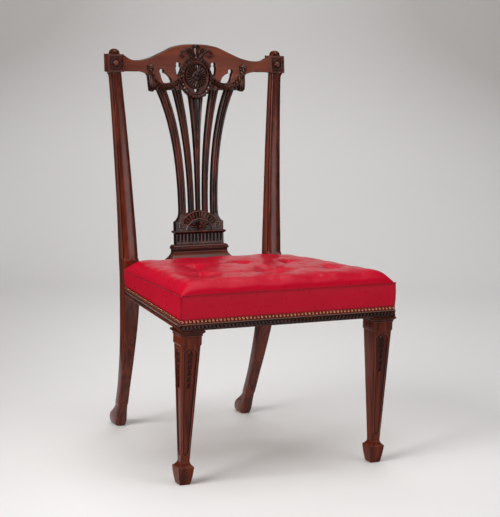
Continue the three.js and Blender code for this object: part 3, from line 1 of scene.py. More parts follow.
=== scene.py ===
"""Looks of the lyre back chair: carved mahogany, crimson leather seat, brass nails.

Lengths in this file are millimetres unless a name says metres. X runs to the right of someone who
faces the chair, Y to the back from the face of the front seat rail, Z up from the floor. to_frame()
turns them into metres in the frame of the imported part. The right half is made, and mirrored.
"""

import math

import bpy
import numpy as np
from mathutils import Matrix, Vector
from mathutils.geometry import delaunay_2d_cdt


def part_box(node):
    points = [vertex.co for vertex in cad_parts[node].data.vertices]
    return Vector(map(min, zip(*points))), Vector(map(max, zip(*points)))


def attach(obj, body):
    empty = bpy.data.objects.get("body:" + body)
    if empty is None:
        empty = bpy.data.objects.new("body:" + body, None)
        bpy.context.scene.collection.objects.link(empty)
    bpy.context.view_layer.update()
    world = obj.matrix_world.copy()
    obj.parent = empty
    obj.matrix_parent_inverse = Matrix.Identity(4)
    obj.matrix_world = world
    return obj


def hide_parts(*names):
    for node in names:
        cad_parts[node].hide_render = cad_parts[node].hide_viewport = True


bl_info = {
    "name": "Lyre Back Chair",
    "version": (1, 0, 0),
    "blender": (4, 5, 0),
    "location": "3D View > Sidebar > Chair",
    "description": "Builds the carved and upholstered surfaces of a lyre back chair",
    "category": "Object",
}

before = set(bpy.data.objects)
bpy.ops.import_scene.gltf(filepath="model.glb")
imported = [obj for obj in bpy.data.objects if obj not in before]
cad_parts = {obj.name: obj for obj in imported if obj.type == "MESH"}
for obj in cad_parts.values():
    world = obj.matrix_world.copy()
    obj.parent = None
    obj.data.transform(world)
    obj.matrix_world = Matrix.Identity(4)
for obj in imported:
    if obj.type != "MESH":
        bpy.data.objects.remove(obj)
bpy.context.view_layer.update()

MM = 0.001
FRONT_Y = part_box("front_rail")[0].y  # face of the front rail, in metres
FULL_TURN = 2 * math.pi

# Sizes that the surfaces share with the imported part

GAP = 0.3  # between pieces that touch
SEAT_FRONT, SEAT_REAR, SEAT_DEPTH = 540.0, 421.0, 448.5
SIDE_TURN = math.atan((SEAT_FRONT - SEAT_REAR) / 2 / SEAT_DEPTH)  # of the side rails, from Y
MITRE = (1 + math.sin(SIDE_TURN)) / math.cos(SIDE_TURN)  # sideways reach of a front corner for one unit out
RAIL_TOP, RAIL_THICKNESS = 403.0, 26.0
REAR_RAIL_FRONT = SEAT_DEPTH + 3.5
MOULDING_BOTTOM, MOULDING_HEIGHT, MOULDING_REACH = 351.5, 16.0, 4.0
MOULDING_TOP = MOULDING_BOTTOM + MOULDING_HEIGHT
SKIRT_OUT = 2.3  # face of the leather in front of the rails
NAIL_LEVEL = MOULDING_TOP + 4.9

SEAM_HEIGHT, SEAM_FALL = 429.0, 15.5  # top seam at the front, and how much lower it is at the stiles
SIDE_OVERHANG = 4.0  # of the side seams at the stiles
SHOULDER, REAR_RUN, REAR_CROWN = 42.0, 76.0, 0.3  # runs of the rounded edges; share of the crown at the back
DOME = 6.0  # middle of the seat over the shoulders
TUFT_RADIUS = 25.0
TUFTS = ((-0.666, 0.255), (0, 0.2), (0.666, 0.255), (-0.53, 0.55), (0, 0.58), (0.53, 0.55))
VALLEYS = ((0, 1), (1, 2), (3, 4), (4, 5), (0, 3), (1, 4), (2, 5), (1, 3), (1, 5))  # from tuft to tuft
RIPPLES = (  # length, direction, phase and height of the soft waves in the leather
    (96.0, 0.5, 0.4, 0.75), (71.0, 2.3, 2.0, 0.6), (47.0, 1.2, 4.1, 0.4), (38.0, 2.75, 1.1, 0.3),
    (26.0, 0.15, 3.0, 0.14),
)

LEG = {
    "side": 50.5, "cap_height": 12.0, "cap_lip": 4.5, "collar_height": 19.5, "taper": 3.8, "step": 2.4,
    "step_in": 1.8, "neck_height": 55.0, "neck_side": 22.0, "neck_inset": 12.5, "neck_setback": 16.5,
    "foot_side": 37.5, "foot_widest": 43.0, "foot_base": 27.0, "margin": 6.6, "neck_margin": 5.0,
    "top_gap": 7.0, "foot_gap": 13.0,
}
HUSK = {"count": 6, "length": 15.0, "top": 12.5, "tip": 8.0, "rise": 3.4}
CAP_TOP = MOULDING_BOTTOM - GAP
CAP_BOTTOM = CAP_TOP - LEG["cap_height"]
COLLAR_BOTTOM = CAP_BOTTOM - LEG["collar_height"]
SHAFT_TOP = COLLAR_BOTTOM - LEG["step"]

STILE = {
    "width": 39.0, "depth": 36.0, "neck_level": 400.0, "plain_top": 443.0, "floor_x": 176.8,
    "seat_x": 196.8, "top_x": 218.1, "rake": 52.0, "sweep": 100.0, "ease": 35.0, "foot_height": 60.0,
    "ankle": 24.5, "foot_reach": 37.0, "arch": 4.5, "quirk": 2.6, "flare_height": 14.0, "flare_reach": 9.0,
    "clearance": 4.0,
}
BLOCK = {"x": 219.2, "z": 910.6, "width": 39.0, "height": 42.5, "depth": 33.0, "forward": 15.0}
STILE_TOP = BLOCK["z"] - BLOCK["height"] / 2 - GAP
NECK_Y = SEAT_DEPTH + GAP + STILE["depth"] / 2
RAKE_SLOPE = STILE["rake"] / (math.hypot(STILE_TOP - STILE["neck_level"], STILE["ease"]) - STILE["ease"])
BLOCK_FRONT = NECK_Y + STILE["rake"] + RAKE_SLOPE * (BLOCK["z"] - STILE_TOP) - BLOCK["forward"]
BLOCK_INNER = BLOCK["x"] - BLOCK["width"] / 2

CREST = {"dip": 917.6, "rise": 39.8, "underside": 890.5, "field_bottom": 845.0, "field_half": 110.0,
         "field_end": 155.0, "depth": 18.0, "bow": 19.0}
GARLAND = {"z": 875.8, "half_width": 38.5, "half_height": 46.0, "backing": 4.6, "count": 28}
MEDALLION = {"z": 880.3, "radius": 31.8, "petals": 22}
DROP = {"x": 122.5, "top": 886.0, "bottom": 841.5, "width": 17.0, "rosette_x": 125.8, "rosette": 10.0,
        "rosette_z": 899.5}
ANTHEMION = {"bottom": 922.1, "height": 33.0, "reach": 38.0}

SPLAT = {"thickness": 14.0, "level_z": 480.0, "front": 481.0, "lean": 38.3, "spring": 549.5, "rib_front": 0.5}
PEDESTAL = {"half_width": 66.0, "shoulder": 521.5, "throat": 546.0, "bottom": 466.0, "arch_z": 497.0,
            "arch_half": 57.0, "inner_half": 36.0, "inner_rise": 32.0, "cornice_top": 500.0,
            "cornice_height": 6.5, "cornice_reach": 5.4}
FLUTE = {"count": 13, "pitch": 9.7, "half_width": 2.9, "bottom": 472.5, "top": 491.5}
SHOE = {"top": 465.7, "foot": 430.0, "reach": 23.5, "ovolo": 10.5, "neck": 7.0, "neck_height": 5.5,
        "back": 1.5}
SHOE_FRONT = 0.6  # share of their side reach by which the shoe's mouldings stand out in front
RIBS = (  # foot, head, width at the foot, width at the head, share of the late bend
    (0.0, 0.0, 9.7, 43.0, 0.45),
    (19.0, 51.0, 13.0, 22.4, 0.13),
    (43.6, 92.4, 17.5, 24.4, 0.32),
)

# Tables of shares: (place, height) pairs, unless a line says more

CREST_TOP = ((0, 1), (0.15, 0.97), (0.305, 0.817), (0.4225, 0.565), (0.48, 0.44), (0.6025, 0.188),
             (0.7, 0.055), (0.775, 0), (0.875, 0.02), (0.95, 0.19), (1, 0.36))
UNDERSIDE = ((0, 0), (0.044, 0.176), (0.089, 0.22), (0.133, -0.033), (0.267, -0.077), (0.4, -0.044),
             (0.467, 0.747), (0.578, 0.89), (0.778, 0.956), (1, 1))
STILE_WIDTH = ((0.067, 0.7), (0.124, 0.694), (0.169, 0.736), (0.225, 0.79), (0.337, 0.944), (0.394, 1),
               (0.5, 1), (0.635, 0.917), (0.776, 0.833), (0.945, 0.722), (1, 0.706))
STILE_DEPTH = ((0.067, 0.645), (0.124, 0.632), (0.169, 0.67), (0.225, 0.765), (0.337, 0.956), (0.394, 1),
               (0.498, 1), (0.635, 0.85), (0.776, 0.765), (0.945, 0.66), (1, 0.62))
REAR_FOOT = (  # level, then the front, back and width shares of the foot
    (0, 0.46, 0.92, 1), (0.08, 0.4, 1.06, 1.15), (0.2, 0.33, 1.13, 1.22), (0.36, 0.27, 1.1, 1.23),
    (0.5, 0.22, 0.93, 1.18), (0.66, 0.15, 0.55, 1.11), (0.83, 0.07, 0.2, 1.05), (1, 0, 0, 1))
INNER_HOLE = (47.8, 907.6, 6.2, 10.0, 29.0, (  # head's x, z and radius; body's reach, fall and points
    (-0.7, 0.26), (-0.68, 0.43), (-0.6, 0.64), (-0.37, 0.92), (-0.17, 1), (0.33, 0.76), (0.66, 0.54),
    (0.9, 0.28), (0.56, 0.2)))
OUTER_HOLE = (93.7, 891.0, 6.2, 27.6, 28.0, (
    (-0.12, 0.22), (-0.08, 0.47), (0.015, 0.757), (0.174, 1), (0.605, 1.02), (1, 0.95), (0.826, 0.564),
    (0.587, 0.32), (0.26, 0.16)))
SWAG = ((0, 0.56), (0.16, 0.78), (0.38, 0.97), (0.55, 1), (0.72, 0.88), (0.88, 0.55), (1, 0.1))
FLARE = ((0, 0), (0.39, 0.13), (0.75, 0.39), (0.957, 0.69), (1, 1))  # across and up, at even steps
SIDE_SECTION = (  # out and up, of the side mouldings
    (0, 0), (0.72, 0), (0.9, 0.03), (1, 0.1), (0.96, 0.2), (0.8, 0.27), (0.56, 0.32), (0.48, 0.42),
    (0.52, 0.55), (0.66, 0.66), (0.74, 0.7), (0.74, 0.74), (0.92, 0.78), (1, 0.86), (0.92, 0.96), (0.7, 1),
    (0, 1))
FRONT_SECTION = (  # up, out and painted shade (highlight below 0), of the front moulding
    (0, 0, 0), (0, 0.6, 0), (0.05, 0.76, -0.2), (0.1, 0.76, 0), (0.14, 0.56, 0.8), (0.18, 0.7, 0.5),
    (0.24, 0.88, 0), (0.34, 1, 0), (0.46, 1.04, 0), (0.58, 1, 0), (0.68, 0.86, 0), (0.76, 0.6, 0.4),
    (0.8, 0.5, 0.9), (0.86, 0.78, -0.5), (0.93, 0.86, -0.9), (1, 0.82, -0.4), (1, 0, 0))


# Sums

def lerp(a, b, t):
    return a + (b - a) * t


def clamp(t):
    return np.clip(t, 0.0, 1.0)


def smooth(t):
    t = clamp(t)
    return t * t * (3 - 2 * t)


def dome(t):
    """Height of a half circle of radius one at distance t from its middle, zero beyond."""
    return np.sqrt(clamp(1 - t * t))


def near(distance, width):
    """exp(-(distance / width)^2): one at distance zero, and soon nothing beyond the width."""
    return np.exp(-((distance / width) ** 2))


def through(pairs, places):
    """Height at the places of the smooth curve through (place, height) pairs."""
    x, y = np.array(pairs, float).T
    after, before = np.append(x[1:], x[-1]), np.append(x[0], x[:-1])
    slope = (np.append(y[1:], y[-1]) - np.append(y[0], y[:-1])) / (after - before)
    places = np.clip(np.asarray(places, float), x[0], x[-1])
    n = np.clip(np.searchsorted(x, places, side="left"), 1, len(x) - 1)
    span = x[n] - x[n - 1]
    t = (places - x[n - 1]) / span
    bend = (1 - t) * slope[n - 1] - t * slope[n]
    return y[n - 1] + (y[n] - y[n - 1]) * smooth(t) + span * t * (1 - t) * bend


def curve(points, t):
    """Each coordinate, at the shares t of the way, of the smooth curve through points at even steps."""
    steps = np.linspace(0, 1, len(points))
    return [through(np.stack([steps, values], -1), t) for values in np.transpose(points)]


def straight(pairs, places):
    x, y = np.array(pairs, float).T
    return np.interp(places, x, y)


def polar(x, z, radius, angle, squash=1.0):
    """Place at a radius and an angle from a middle, with Z squashed."""
    return x + radius * np.cos(angle), z + squash * radius * np.sin(angle)


def at(x, y, z):
    """Array of points from coordinates that broadcast against one another."""
    return np.stack(np.broadcast_arrays(x, y, z), -1)


def frame_half(y):
    """Half the width of the seat frame at a depth."""
    return SEAT_FRONT / 2 - math.tan(SIDE_TURN) * y


# Meshes: a shape is (points, [arrays of quads or triangles], shade), where shade is painted light on each
# point: 0 on an open surface, up to 1 for painted shade in hollows, grooves and shaded walls, and below 0
# for a painted highlight on a lit, rubbed edge.

def grid_quads(rows, columns, wrap=False):
    """Corners of the quads between neighbouring points of a grid; wrap joins its last column to its first."""
    r = np.arange(rows - 1)[:, None]
    c = np.arange(columns if wrap else columns - 1)[None, :]
    right = (c + 1) % columns
    a, b = r * columns + c, r * columns + right
    return np.stack([a, b, b + columns, a + columns], -1).reshape(-1, 4)


def facing_out(points, faces):
    """The faces, turned round where they enclose a negative volume."""
    volume = 0.0
    for group in faces:
        corners = points[group]
        for k in range(1, group.shape[1] - 1):
            volume += np.einsum("ij,ij->i", corners[:, 0], np.cross(corners[:, k], corners[:, k + 1])).sum()
    return faces if volume >= 0 else [group[:, ::-1] for group in faces]


def loft(rings, shade=0.0):
    """Closed shape through rings, an array of (ring, point, 3), with a shade for each point or ring;
    a fan closes each end."""
    rows, columns = rings.shape[:2]
    points = np.concatenate([rings.reshape(-1, 3), rings[0].mean(0)[None], rings[-1].mean(0)[None]])
    i = np.arange(columns)
    j = (i + 1) % columns
    last = (rows - 1) * columns
    start = np.stack([np.full(columns, rows * columns), j, i], -1)
    end = np.stack([np.full(columns, rows * columns + 1), i + last, j + last], -1)
    faces = facing_out(points, [grid_quads(rows, columns, wrap=True), np.concatenate([start, end])])
    flat = np.broadcast_to(shade, (rows, columns)).reshape(-1)
    return points, faces, np.append(flat, [flat[:columns].mean(), flat[-columns:].mean()])


def open_sides(faces):
    """Sides that only one of the faces has, in its direction."""
    count = faces.max() + 1
    sides = np.concatenate([faces[:, [k, (k + 1) % faces.shape[1]]] for k in range(faces.shape[1])])
    key = sides.min(1) * count + sides.max(1)
    _, where, uses = np.unique(key, return_inverse=True, return_counts=True)
    return sides[uses[where] == 1]


def shell(outer, inner, faces):
    """Points and faces of a closed wall: the faces on the outer points, turned round on the inner
    points, and quads that join the two along the open sides."""
    a, b = open_sides(faces).T
    count = len(outer)
    points = np.concatenate([outer, inner])
    rim = np.stack([b, a, a + count, b + count], -1)
    return points, facing_out(points, [faces, faces[:, ::-1] + count, rim])


def gathered(shapes):
    """One shape from several that stay separate bodies."""
    points, faces, shades = zip(*shapes)
    starts = np.cumsum([0] + [len(p) for p in points[:-1]])
    every = [group + start for groups, start in zip(faces, starts) for group in groups]
    return np.concatenate(points), every, np.concatenate(shades)


def mirrored(shape):
    points, faces, shade = shape
    return points * [-1, 1, 1], [group[:, ::-1] for group in faces], shade


def both_sides(shape):
    return gathered([shape, mirrored(shape)])


def to_frame(points):
    return points * MM + [0, FRONT_Y, 0]


def placed(name, data):
    """A new object in the scene."""
    obj = bpy.data.objects.new(name, data)
    bpy.context.scene.collection.objects.link(obj)
    return obj


def piece(name, shape, material, replaces=(), sharp=38.0):
    """A mesh object that rides on the chair, with its shade kept as the attribute of that name."""
    points, faces, shade = shape
    corners = np.concatenate([group.reshape(-1) for group in faces])
    sizes = np.concatenate([np.full(len(group), group.shape[1]) for group in faces])
    mesh = bpy.data.meshes.new(name)
    mesh.vertices.add(len(points))
    mesh.vertices.foreach_set("co", to_frame(points).astype(np.float32).reshape(-1))
    mesh.loops.add(len(corners))
    mesh.loops.foreach_set("vertex_index", corners.astype(np.int32))
    mesh.polygons.add(len(sizes))
    mesh.polygons.foreach_set("loop_start", (np.cumsum(sizes) - sizes).astype(np.int32))
    mesh.update(calc_edges=True)
    mesh.validate()
    mesh.polygons.foreach_set("use_smooth", np.ones(len(mesh.polygons), bool))
    mesh.set_sharp_from_angle(angle=math.radians(sharp))
    layer = mesh.attributes.new("shade", "FLOAT", "POINT")
    layer.data.foreach_set("value", np.asarray(shade, np.float32))
    mesh.materials.append(material)
    obj = placed(name, mesh)
    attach(obj, "root")
    if replaces:
        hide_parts(*replaces)
    return obj


def pair(name, right, material, node):
    """The right piece and its mirror image, each in the place of the node of its own side."""
    for side, shape in (("right", right), ("left", mirrored(right))):
        piece(f"{side}_{name}", shape, material, [f"{side}_{node}"])


def resampled(loop, spacing):
    """The closed loop with points added so that none is further than spacing from the next."""
    ahead = np.roll(loop, -1, 0)
    counts = np.maximum(1, np.ceil(np.hypot(*(ahead - loop).T) / spacing).astype(int))
    start = np.repeat(np.arange(len(loop)), counts)
    part = (np.arange(counts.sum()) - np.repeat(np.cumsum(counts) - counts, counts)) / counts[start]
    return lerp(loop[start], ahead[start], part[:, None])


def edge_distance(points, loops):
    """Distance from each point to the nearest side of the loops, and whether it lies between them."""
    a = np.concatenate(loops)
    b = np.concatenate([np.roll(loop, -1, 0) for loop in loops])
    side = b - a
    length = (side ** 2).sum(1)
    rise = np.where(np.abs(side[:, 1]) < 1e-12, 1e-12, side[:, 1])
    distance, inside = [], []
    for part in np.array_split(points, max(1, len(points) // 2500)):
        offset = part[:, None] - a
        t = clamp((offset * side).sum(-1) / length)
        distance.append(np.sqrt(((offset - t[..., None] * side) ** 2).sum(-1).min(1)))
        spans = (a[:, 1] > part[:, None, 1]) != (b[:, 1] > part[:, None, 1])
        cross = a[:, 0] + side[:, 0] * (part[:, None, 1] - a[:, 1]) / rise
        inside.append((spans & (part[:, None, 0] < cross)).sum(1) % 2 == 1)
    return np.concatenate(distance), np.concatenate(inside)


def filled(loops, spacing):
    """Points and triangles that fill the area between flat loops, about spacing apart, and how far each
    point is from the loops."""
    loops = [resampled(np.asarray(loop, float), spacing) for loop in loops]
    low, high = loops[0].min(0), loops[0].max(0)
    rows = np.arange(low[1], high[1], spacing * 0.87)
    x, z = np.meshgrid(np.arange(low[0], high[0], spacing), rows)
    x = x + spacing / 2 * (np.arange(len(rows)) % 2)[:, None]
    field = np.stack([x.reshape(-1), z.reshape(-1)], -1)
    distance, inside = edge_distance(field, loops)
    field = field[inside & (distance > 0.55 * spacing)]
    every = [Vector(p) for p in np.concatenate([*loops, field]).tolist()]
    starts = np.cumsum([0] + [len(loop) for loop in loops[:-1]])
    rims = [start + np.arange(len(loop)) for start, loop in zip(starts, loops)]
    edges = [np.stack([rim, np.roll(rim, -1)], -1) for rim in rims]
    found = delaunay_2d_cdt(every, np.concatenate(edges).tolist(), [], 0, 1e-5, False)
    points, triangles = np.array([tuple(p) for p in found[0]]), np.array(found[2])
    _, inside = edge_distance(points[triangles].mean(1), loops)
    return points, triangles[inside], edge_distance(points, loops)[0]


def plate(loops, spacing, front, thickness, relief, front_round, back_round, rim_shade=0.0):
    """Board with a carved front. With d the distance to the nearest edge of its outline,
    front y = front(x, z) - relief(x, z) + drop(d, front_round), back y = front(x, z) + thickness
    - drop(d, back_round), and drop(d, r) = r - sqrt(r^2 - (r - d)^2) within r of the edge.
    relief gives the height and the painted shade; the edges take rim_shade as a painted dark outline, and
    painted shade darkens the walls toward the back."""
    points, triangles, distance = filled(loops, spacing)
    x, z = points.T
    (height, shade), face = relief(x, z), front(x, z)

    def drop(r):
        return r * (1 - dome(clamp(1 - distance / r)))

    carved = at(x, face - height * clamp(distance / front_round) + drop(front_round), z)
    points, faces = shell(carved, at(x, face + thickness - drop(back_round), z), triangles)
    # painted dark outline on the rims, and painted shade on the back edge of the walls
    at_edge = (distance < 0.05) & (rim_shade > 0)
    return points, faces, np.concatenate([np.where(at_edge, np.maximum(shade, rim_shade), shade), at_edge])


def ball(centre, half, rows=10, columns=14, shade=0.0):
    """Ellipsoid: centre + half * (cos u cos v, cos u sin v, sin u)."""
    u = np.linspace(-math.pi / 2, math.pi / 2, rows + 1)[1:-1, None]
    v = np.arange(columns) * FULL_TURN / columns
    points, faces, shades = loft(at(np.cos(u) * np.cos(v), np.cos(u) * np.sin(v), np.sin(u)), shade)
    points[-2:] = (0, 0, -1), (0, 0, 1)
    return points * half + centre, faces, shades


def tube(path, radius, count, shade):
    """Round bar with a radius for each stop of a path of points (stop, 3)."""
    along = np.gradient(path, axis=0)
    along /= np.linalg.norm(along, axis=1)[:, None]
    side = np.cross(along, [0.0, 1.0, 0.0])
    side /= np.linalg.norm(side, axis=1)[:, None]
    other = np.cross(along, side)
    turn = np.arange(count)[:, None] * FULL_TURN / count
    round_it = side[:, None] * np.cos(turn) + other[:, None] * np.sin(turn)
    return loft(path[:, None] + radius[:, None, None] * round_it, shade)


# Shader sums

class Node:
    """A shader socket that can be added, subtracted and multiplied like a number."""

    def __init__(self, tree, socket):
        self.tree, self.socket = tree, socket

    def make(self, kind, settings=None, inputs=None, output=0):
        """A new node of any kind, with its settings and inputs, as one of its outputs."""
        node = self.tree.nodes.new(kind)
        for key, value in (settings or {}).items():
            setattr(node, key, value)
        for key, value in (inputs or {}).items():
            feed(node, key, value)
        return Node(self.tree, node.outputs[output])

    def math(self, operation, a, b=0.0):
        return self.make("ShaderNodeMath", {"operation": operation}, {0: a, 1: b})

    def __add__(self, other):
        return self.math("ADD", self, other)

    def __radd__(self, other):
        return self.math("ADD", other, self)

    def __sub__(self, other):
        return self.math("SUBTRACT", self, other)

    def __rsub__(self, other):
        return self.math("SUBTRACT", other, self)

    def __mul__(self, other):
        return self.math("MULTIPLY", self, other)

    def __rmul__(self, other):
        return self.math("MULTIPLY", other, self)

    def between(self, low, high):
        """0 up to low, 1 from high, and a smooth rise from one to the other."""
        return self.make("ShaderNodeMapRange", {"interpolation_type": "SMOOTHSTEP"},
                         {"Value": self, "From Min": low, "From Max": high})

    def colour(self, a, b):
        """Colour a where this is 0, colour b where it is 1."""
        settings = {"data_type": "RGBA", "clamp_factor": True}
        return self.make("ShaderNodeMix", settings, {0: self, 6: a, 7: b}, output=2)

    def scaled(self, x, y, z):
        return self.make("ShaderNodeVectorMath", {"operation": "MULTIPLY"}, {0: self, 1: (x, y, z)})

    def along(self, x, y, z):
        """How far this vector reaches in a direction."""
        inputs = {0: self, 1: (x, y, z)}
        return self.make("ShaderNodeVectorMath", {"operation": "DOT_PRODUCT"}, inputs, output=1)

    def noise(self, scale, detail=3.0, roughness=0.5, distortion=0.0):
        return self.make("ShaderNodeTexNoise", None, {"Vector": self, "Scale": scale, "Detail": detail,
                                                      "Roughness": roughness, "Distortion": distortion})

    def bump(self, strength, distance):
        """The normal that this height gives, with its distance in metres."""
        return self.make("ShaderNodeBump", None, {"Strength": strength, "Distance": distance, "Height": self})


def feed(node, key, value):
    """Links or sets one input of a node."""
    if isinstance(value, Node):
        value.tree.links.new(value.socket, node.inputs[key])
    else:
        node.inputs[key].default_value = value


def linear(colour):
    """Linear RGBA of a colour property."""
    return (*colour[:3], 1.0)


def srgb(red, green, blue):
    """Linear colour of 0 to 255 display values."""
    return tuple(c / 3294.6 if c <= 10 else ((c / 255 + 0.055) / 1.055) ** 2.4 for c in (red, green, blue))


def start_material(name):
    """A new material, with its object coordinates and its shade attribute."""
    made = bpy.data.materials.new(name)
    made.use_nodes = True
    start = Node(made.node_tree, None)
    shade = start.make("ShaderNodeAttribute", {"attribute_name": "shade"}, output=2)
    return made, start.make("ShaderNodeTexCoord", output=3), shade


def finished(made, **inputs):
    """The material, with the inputs of its principled node set."""
    shader = next(node for node in made.node_tree.nodes if node.type == "BSDF_PRINCIPLED")
    for key, value in inputs.items():
        feed(shader, key.replace("_", " "), value)
    return made


def mahogany(name, axis, colours, carved=0.0, warmth_and_sheen=0.0, gloss=0.32):
    """Polished mahogany with its grain along an axis: streaks from stretched noise, and from the shade
    attribute painted shade in the hollows and painted highlights on lit, rubbed edges. carved darkens the
    whole piece, warm lightens it and mixes in a painted sheen of the edge colour, and gloss sets the
    strength of its polish."""
    made, place, shade = start_material(name)
    along = place.scaled(*(0.07 if letter == axis else 1.0 for letter in "XYZ"))
    figure = along.noise(70.0, 4.0, 0.6, 0.8).between(0.32, 0.7)
    streak = along.noise(230.0, 3.0, 0.6).between(0.25, 0.8)
    broad = place.scaled(1, 1, 0.6).noise(5.0, 2.0).between(0.3, 0.7)
    dark, light = linear(colours.mahogany_dark), linear(colours.mahogany)
    base = (0.55 * figure + 0.25 * streak + 0.2 * broad - carved * 0.5 + warmth_and_sheen * 0.3).colour(dark, light)
    # painted shade: the shade attribute darkens hollows, grooves and shaded walls toward the hollow colour
    hollow = shade.between(0.05, 0.95)
    # painted highlight where the shade is below 0, on lit, rubbed edges
    wear_and_highlight = (0.0 - shade).between(0.0, 1.0)
    # the warm factor also mixes a painted sheen of the edge colour over the whole piece
    edged = (wear_and_highlight * (0.92 - 0.2 * carved) + 0.17 * warmth_and_sheen).colour(base, linear(colours.edge_wear_and_highlight))
    return finished(
        made, Base_Color=(hollow * 0.95).colour(edged, linear(colours.hollow)),
        Roughness=0.14 + 0.08 * streak + 0.1 * hollow, Coat_Roughness=0.12, Coat_Weight=0.03 + 0.1 * wear_and_highlight,
        Specular_IOR_Level=gloss, Normal=streak.bump(0.12, 0.0004))


def leather_material(colours):
    """Crimson leather: fine pebbled grain from cells, a soft variation of colour and wear, darker seams,
    and painted shade in the tuft pits from the shade attribute.
    """
    made, place, shade = start_material("crimson_leather")
    cells = place.make("ShaderNodeTexVoronoi", {"feature": "SMOOTH_F1"}, {"Vector": place, "Scale": 620.0})
    patch = place.noise(14.0, 4.0, 0.6).between(0.25, 0.75)
    mottle = place.noise(120.0, 2.0).between(0.2, 0.8)
    base = (0.55 * patch + 0.25 * mottle).colour(linear(colours.leather), linear(colours.leather_worn))
    # the shade attribute: darker seams, and painted shade in the tufts and the valleys between them
    return finished(
        made, Base_Color=shade.between(0.0, 1.0).colour(base, linear(colours.leather_dark)),
        Roughness=0.26 + 0.1 * mottle, Specular_IOR_Level=0.15,
        Normal=(cells + 0.6 * patch).bump(0.15, 0.0004))


def brass_material(colours):
    """Brass of the nails: cloudy tarnish, and dark in the shade under the heads."""
    made, place, shade = start_material("nail_brass")
    tarnish = place.noise(320.0, 3.0).between(0.35, 0.75)
    # the shade attribute adds painted shade round the rim of each head
    base = (0.6 * tarnish + shade).colour(linear(colours.brass), linear(colours.brass_dark))
    return finished(made, Base_Color=base, Metallic=0.9, Roughness=0.2 + 0.15 * tarnish)


def plain_wood():
    """Beech of the hidden frame: short pale flecks along the grain."""
    made, place, _ = start_material("beech_frame")
    fleck = place.scaled(0.15, 0.15, 1.0).noise(160.0, 3.0).between(0.3, 0.7)
    return finished(made, Base_Color=fleck.colour(linear(srgb(150, 105, 66)), linear(srgb(178, 134, 92))),
                    Roughness=0.7)


def woven(name, pale, dark, pitch):
    """Plain weave: threads along X and Y that pass over one another in turn, at a pitch in metres."""
    made, place, _ = start_material(name)
    x, y = place.along(1, 0, 0), place.along(0, 1, 0)
    warp, weft = (place.math("SINE", way * (FULL_TURN / pitch)) for way in (x, y))
    thread = warp * weft * 0.5 + 0.5
    base = (0.7 * thread + 0.3 * place.noise(90.0)).colour(linear(srgb(*dark)), linear(srgb(*pale)))
    return finished(made, Base_Color=base, Roughness=0.92, Normal=thread.bump(0.5, 0.0006))


def paper(colours, side, away):
    """Pale paper of the floor and backdrop, with painted shade toward the back, in the upper corners, up the
    backdrop and near the key light, and painted near black beyond the left edge of the view, so that the
    polish mirrors dark there."""
    made, place, _ = start_material("studio_paper")
    across, back, up = place.along(*side, 0), place.along(*away, 0), place.along(0, 0, 1)
    # painted shade: toward the back, in the upper corners, near the key light and up the backdrop
    far = back.between(0.4, 4.0)
    aside = across * 0.8
    corner = aside * aside * up.between(0.0, 1.4)
    near_key = (-0.15 - aside).between(0.0, 0.6) * (1.0 - far)
    pale = linear(colours.floor)
    grey = (0.62 * pale[0], 0.61 * pale[1], 0.6 * pale[2], 1.0)
    lit = (0.25 * far + corner + 0.65 * near_key + 0.38 * up.between(0.35, 1.05)).colour(pale, grey)
    # painted near black beyond the left edge of the view, a dark sheet for the polish to mirror
    beyond = (-0.6 - across - 0.15 * back).between(0.0, 0.1)
    return finished(made, Base_Color=beyond.colour(lit, (0.03, 0.03, 0.03, 1.0)), Roughness=0.8,
                    Specular_IOR_Level=0.1)


# Seat

TUFT_PLACES = [(across * frame_half(back * SEAT_DEPTH), back * SEAT_DEPTH) for across, back in TUFTS]
SKIRT_LEVELS = np.append(np.linspace(0, 1, 16)[1:], [1.12, 1.3])[:, None]  # seam 0, nails 1, hem 1.3
SKIRT_NAILS, SKIRT_HEM = NAIL_LEVEL + 4.6, MOULDING_TOP + GAP


def seam_height(y):
    return SEAM_HEIGHT - SEAM_FALL * y / SEAT_DEPTH


def shoulder(distance, run):
    """Rise of a quarter circle over a run, from 0 at the seam to 1."""
    return dome(1 - clamp(distance / run))


def segment_distance(x, y, a, b):
    """Distance from points to the line from a to b, and how far along it they lie."""
    ab = np.subtract(b, a)
    t = clamp(((x - a[0]) * ab[0] + (y - a[1]) * ab[1]) / (ab @ ab))
    return np.hypot(x - a[0] - t * ab[0], y - a[1] - t * ab[1]), t


def tuft_sink(x, y, depth):
    """How far the tufts, and the soft valleys between them, sink the seat.

    A tuft sinks depth * exp(-(d / r)^2) with a sharper pit at its middle and five folds that run out
    from it; a valley between two tufts sinks a share of that over a width of its own."""
    sink = np.zeros_like(x)
    for n, (tx, ty) in enumerate(TUFT_PLACES):
        distance, angle = np.hypot(x - tx, y - ty), np.arctan2(y - ty, x - tx)
        folds = np.abs(np.cos(2.5 * angle + n * 1.3)) ** 6 * smooth(distance / 8) * near(distance, 24.0)
        sink += depth * (0.86 * near(distance, TUFT_RADIUS) + 0.3 * near(distance, 8.0) + 0.24 * folds)
    for first, second in VALLEYS:
        distance, t = segment_distance(x, y, TUFT_PLACES[first], TUFT_PLACES[second])
        sink += depth * 0.3 * near(distance, 14.0) * (0.6 + 0.4 * np.abs(2 * t - 1))
    return sink


def ripples(x, y):
    """Soft waves: the sum of height * sin(2 pi (x cos a + y sin a) / length + phase)."""
    return sum(height * np.sin(FULL_TURN * (x * math.cos(a) + y * math.sin(a)) / length + phase)
               for length, a, phase, height in RIPPLES)


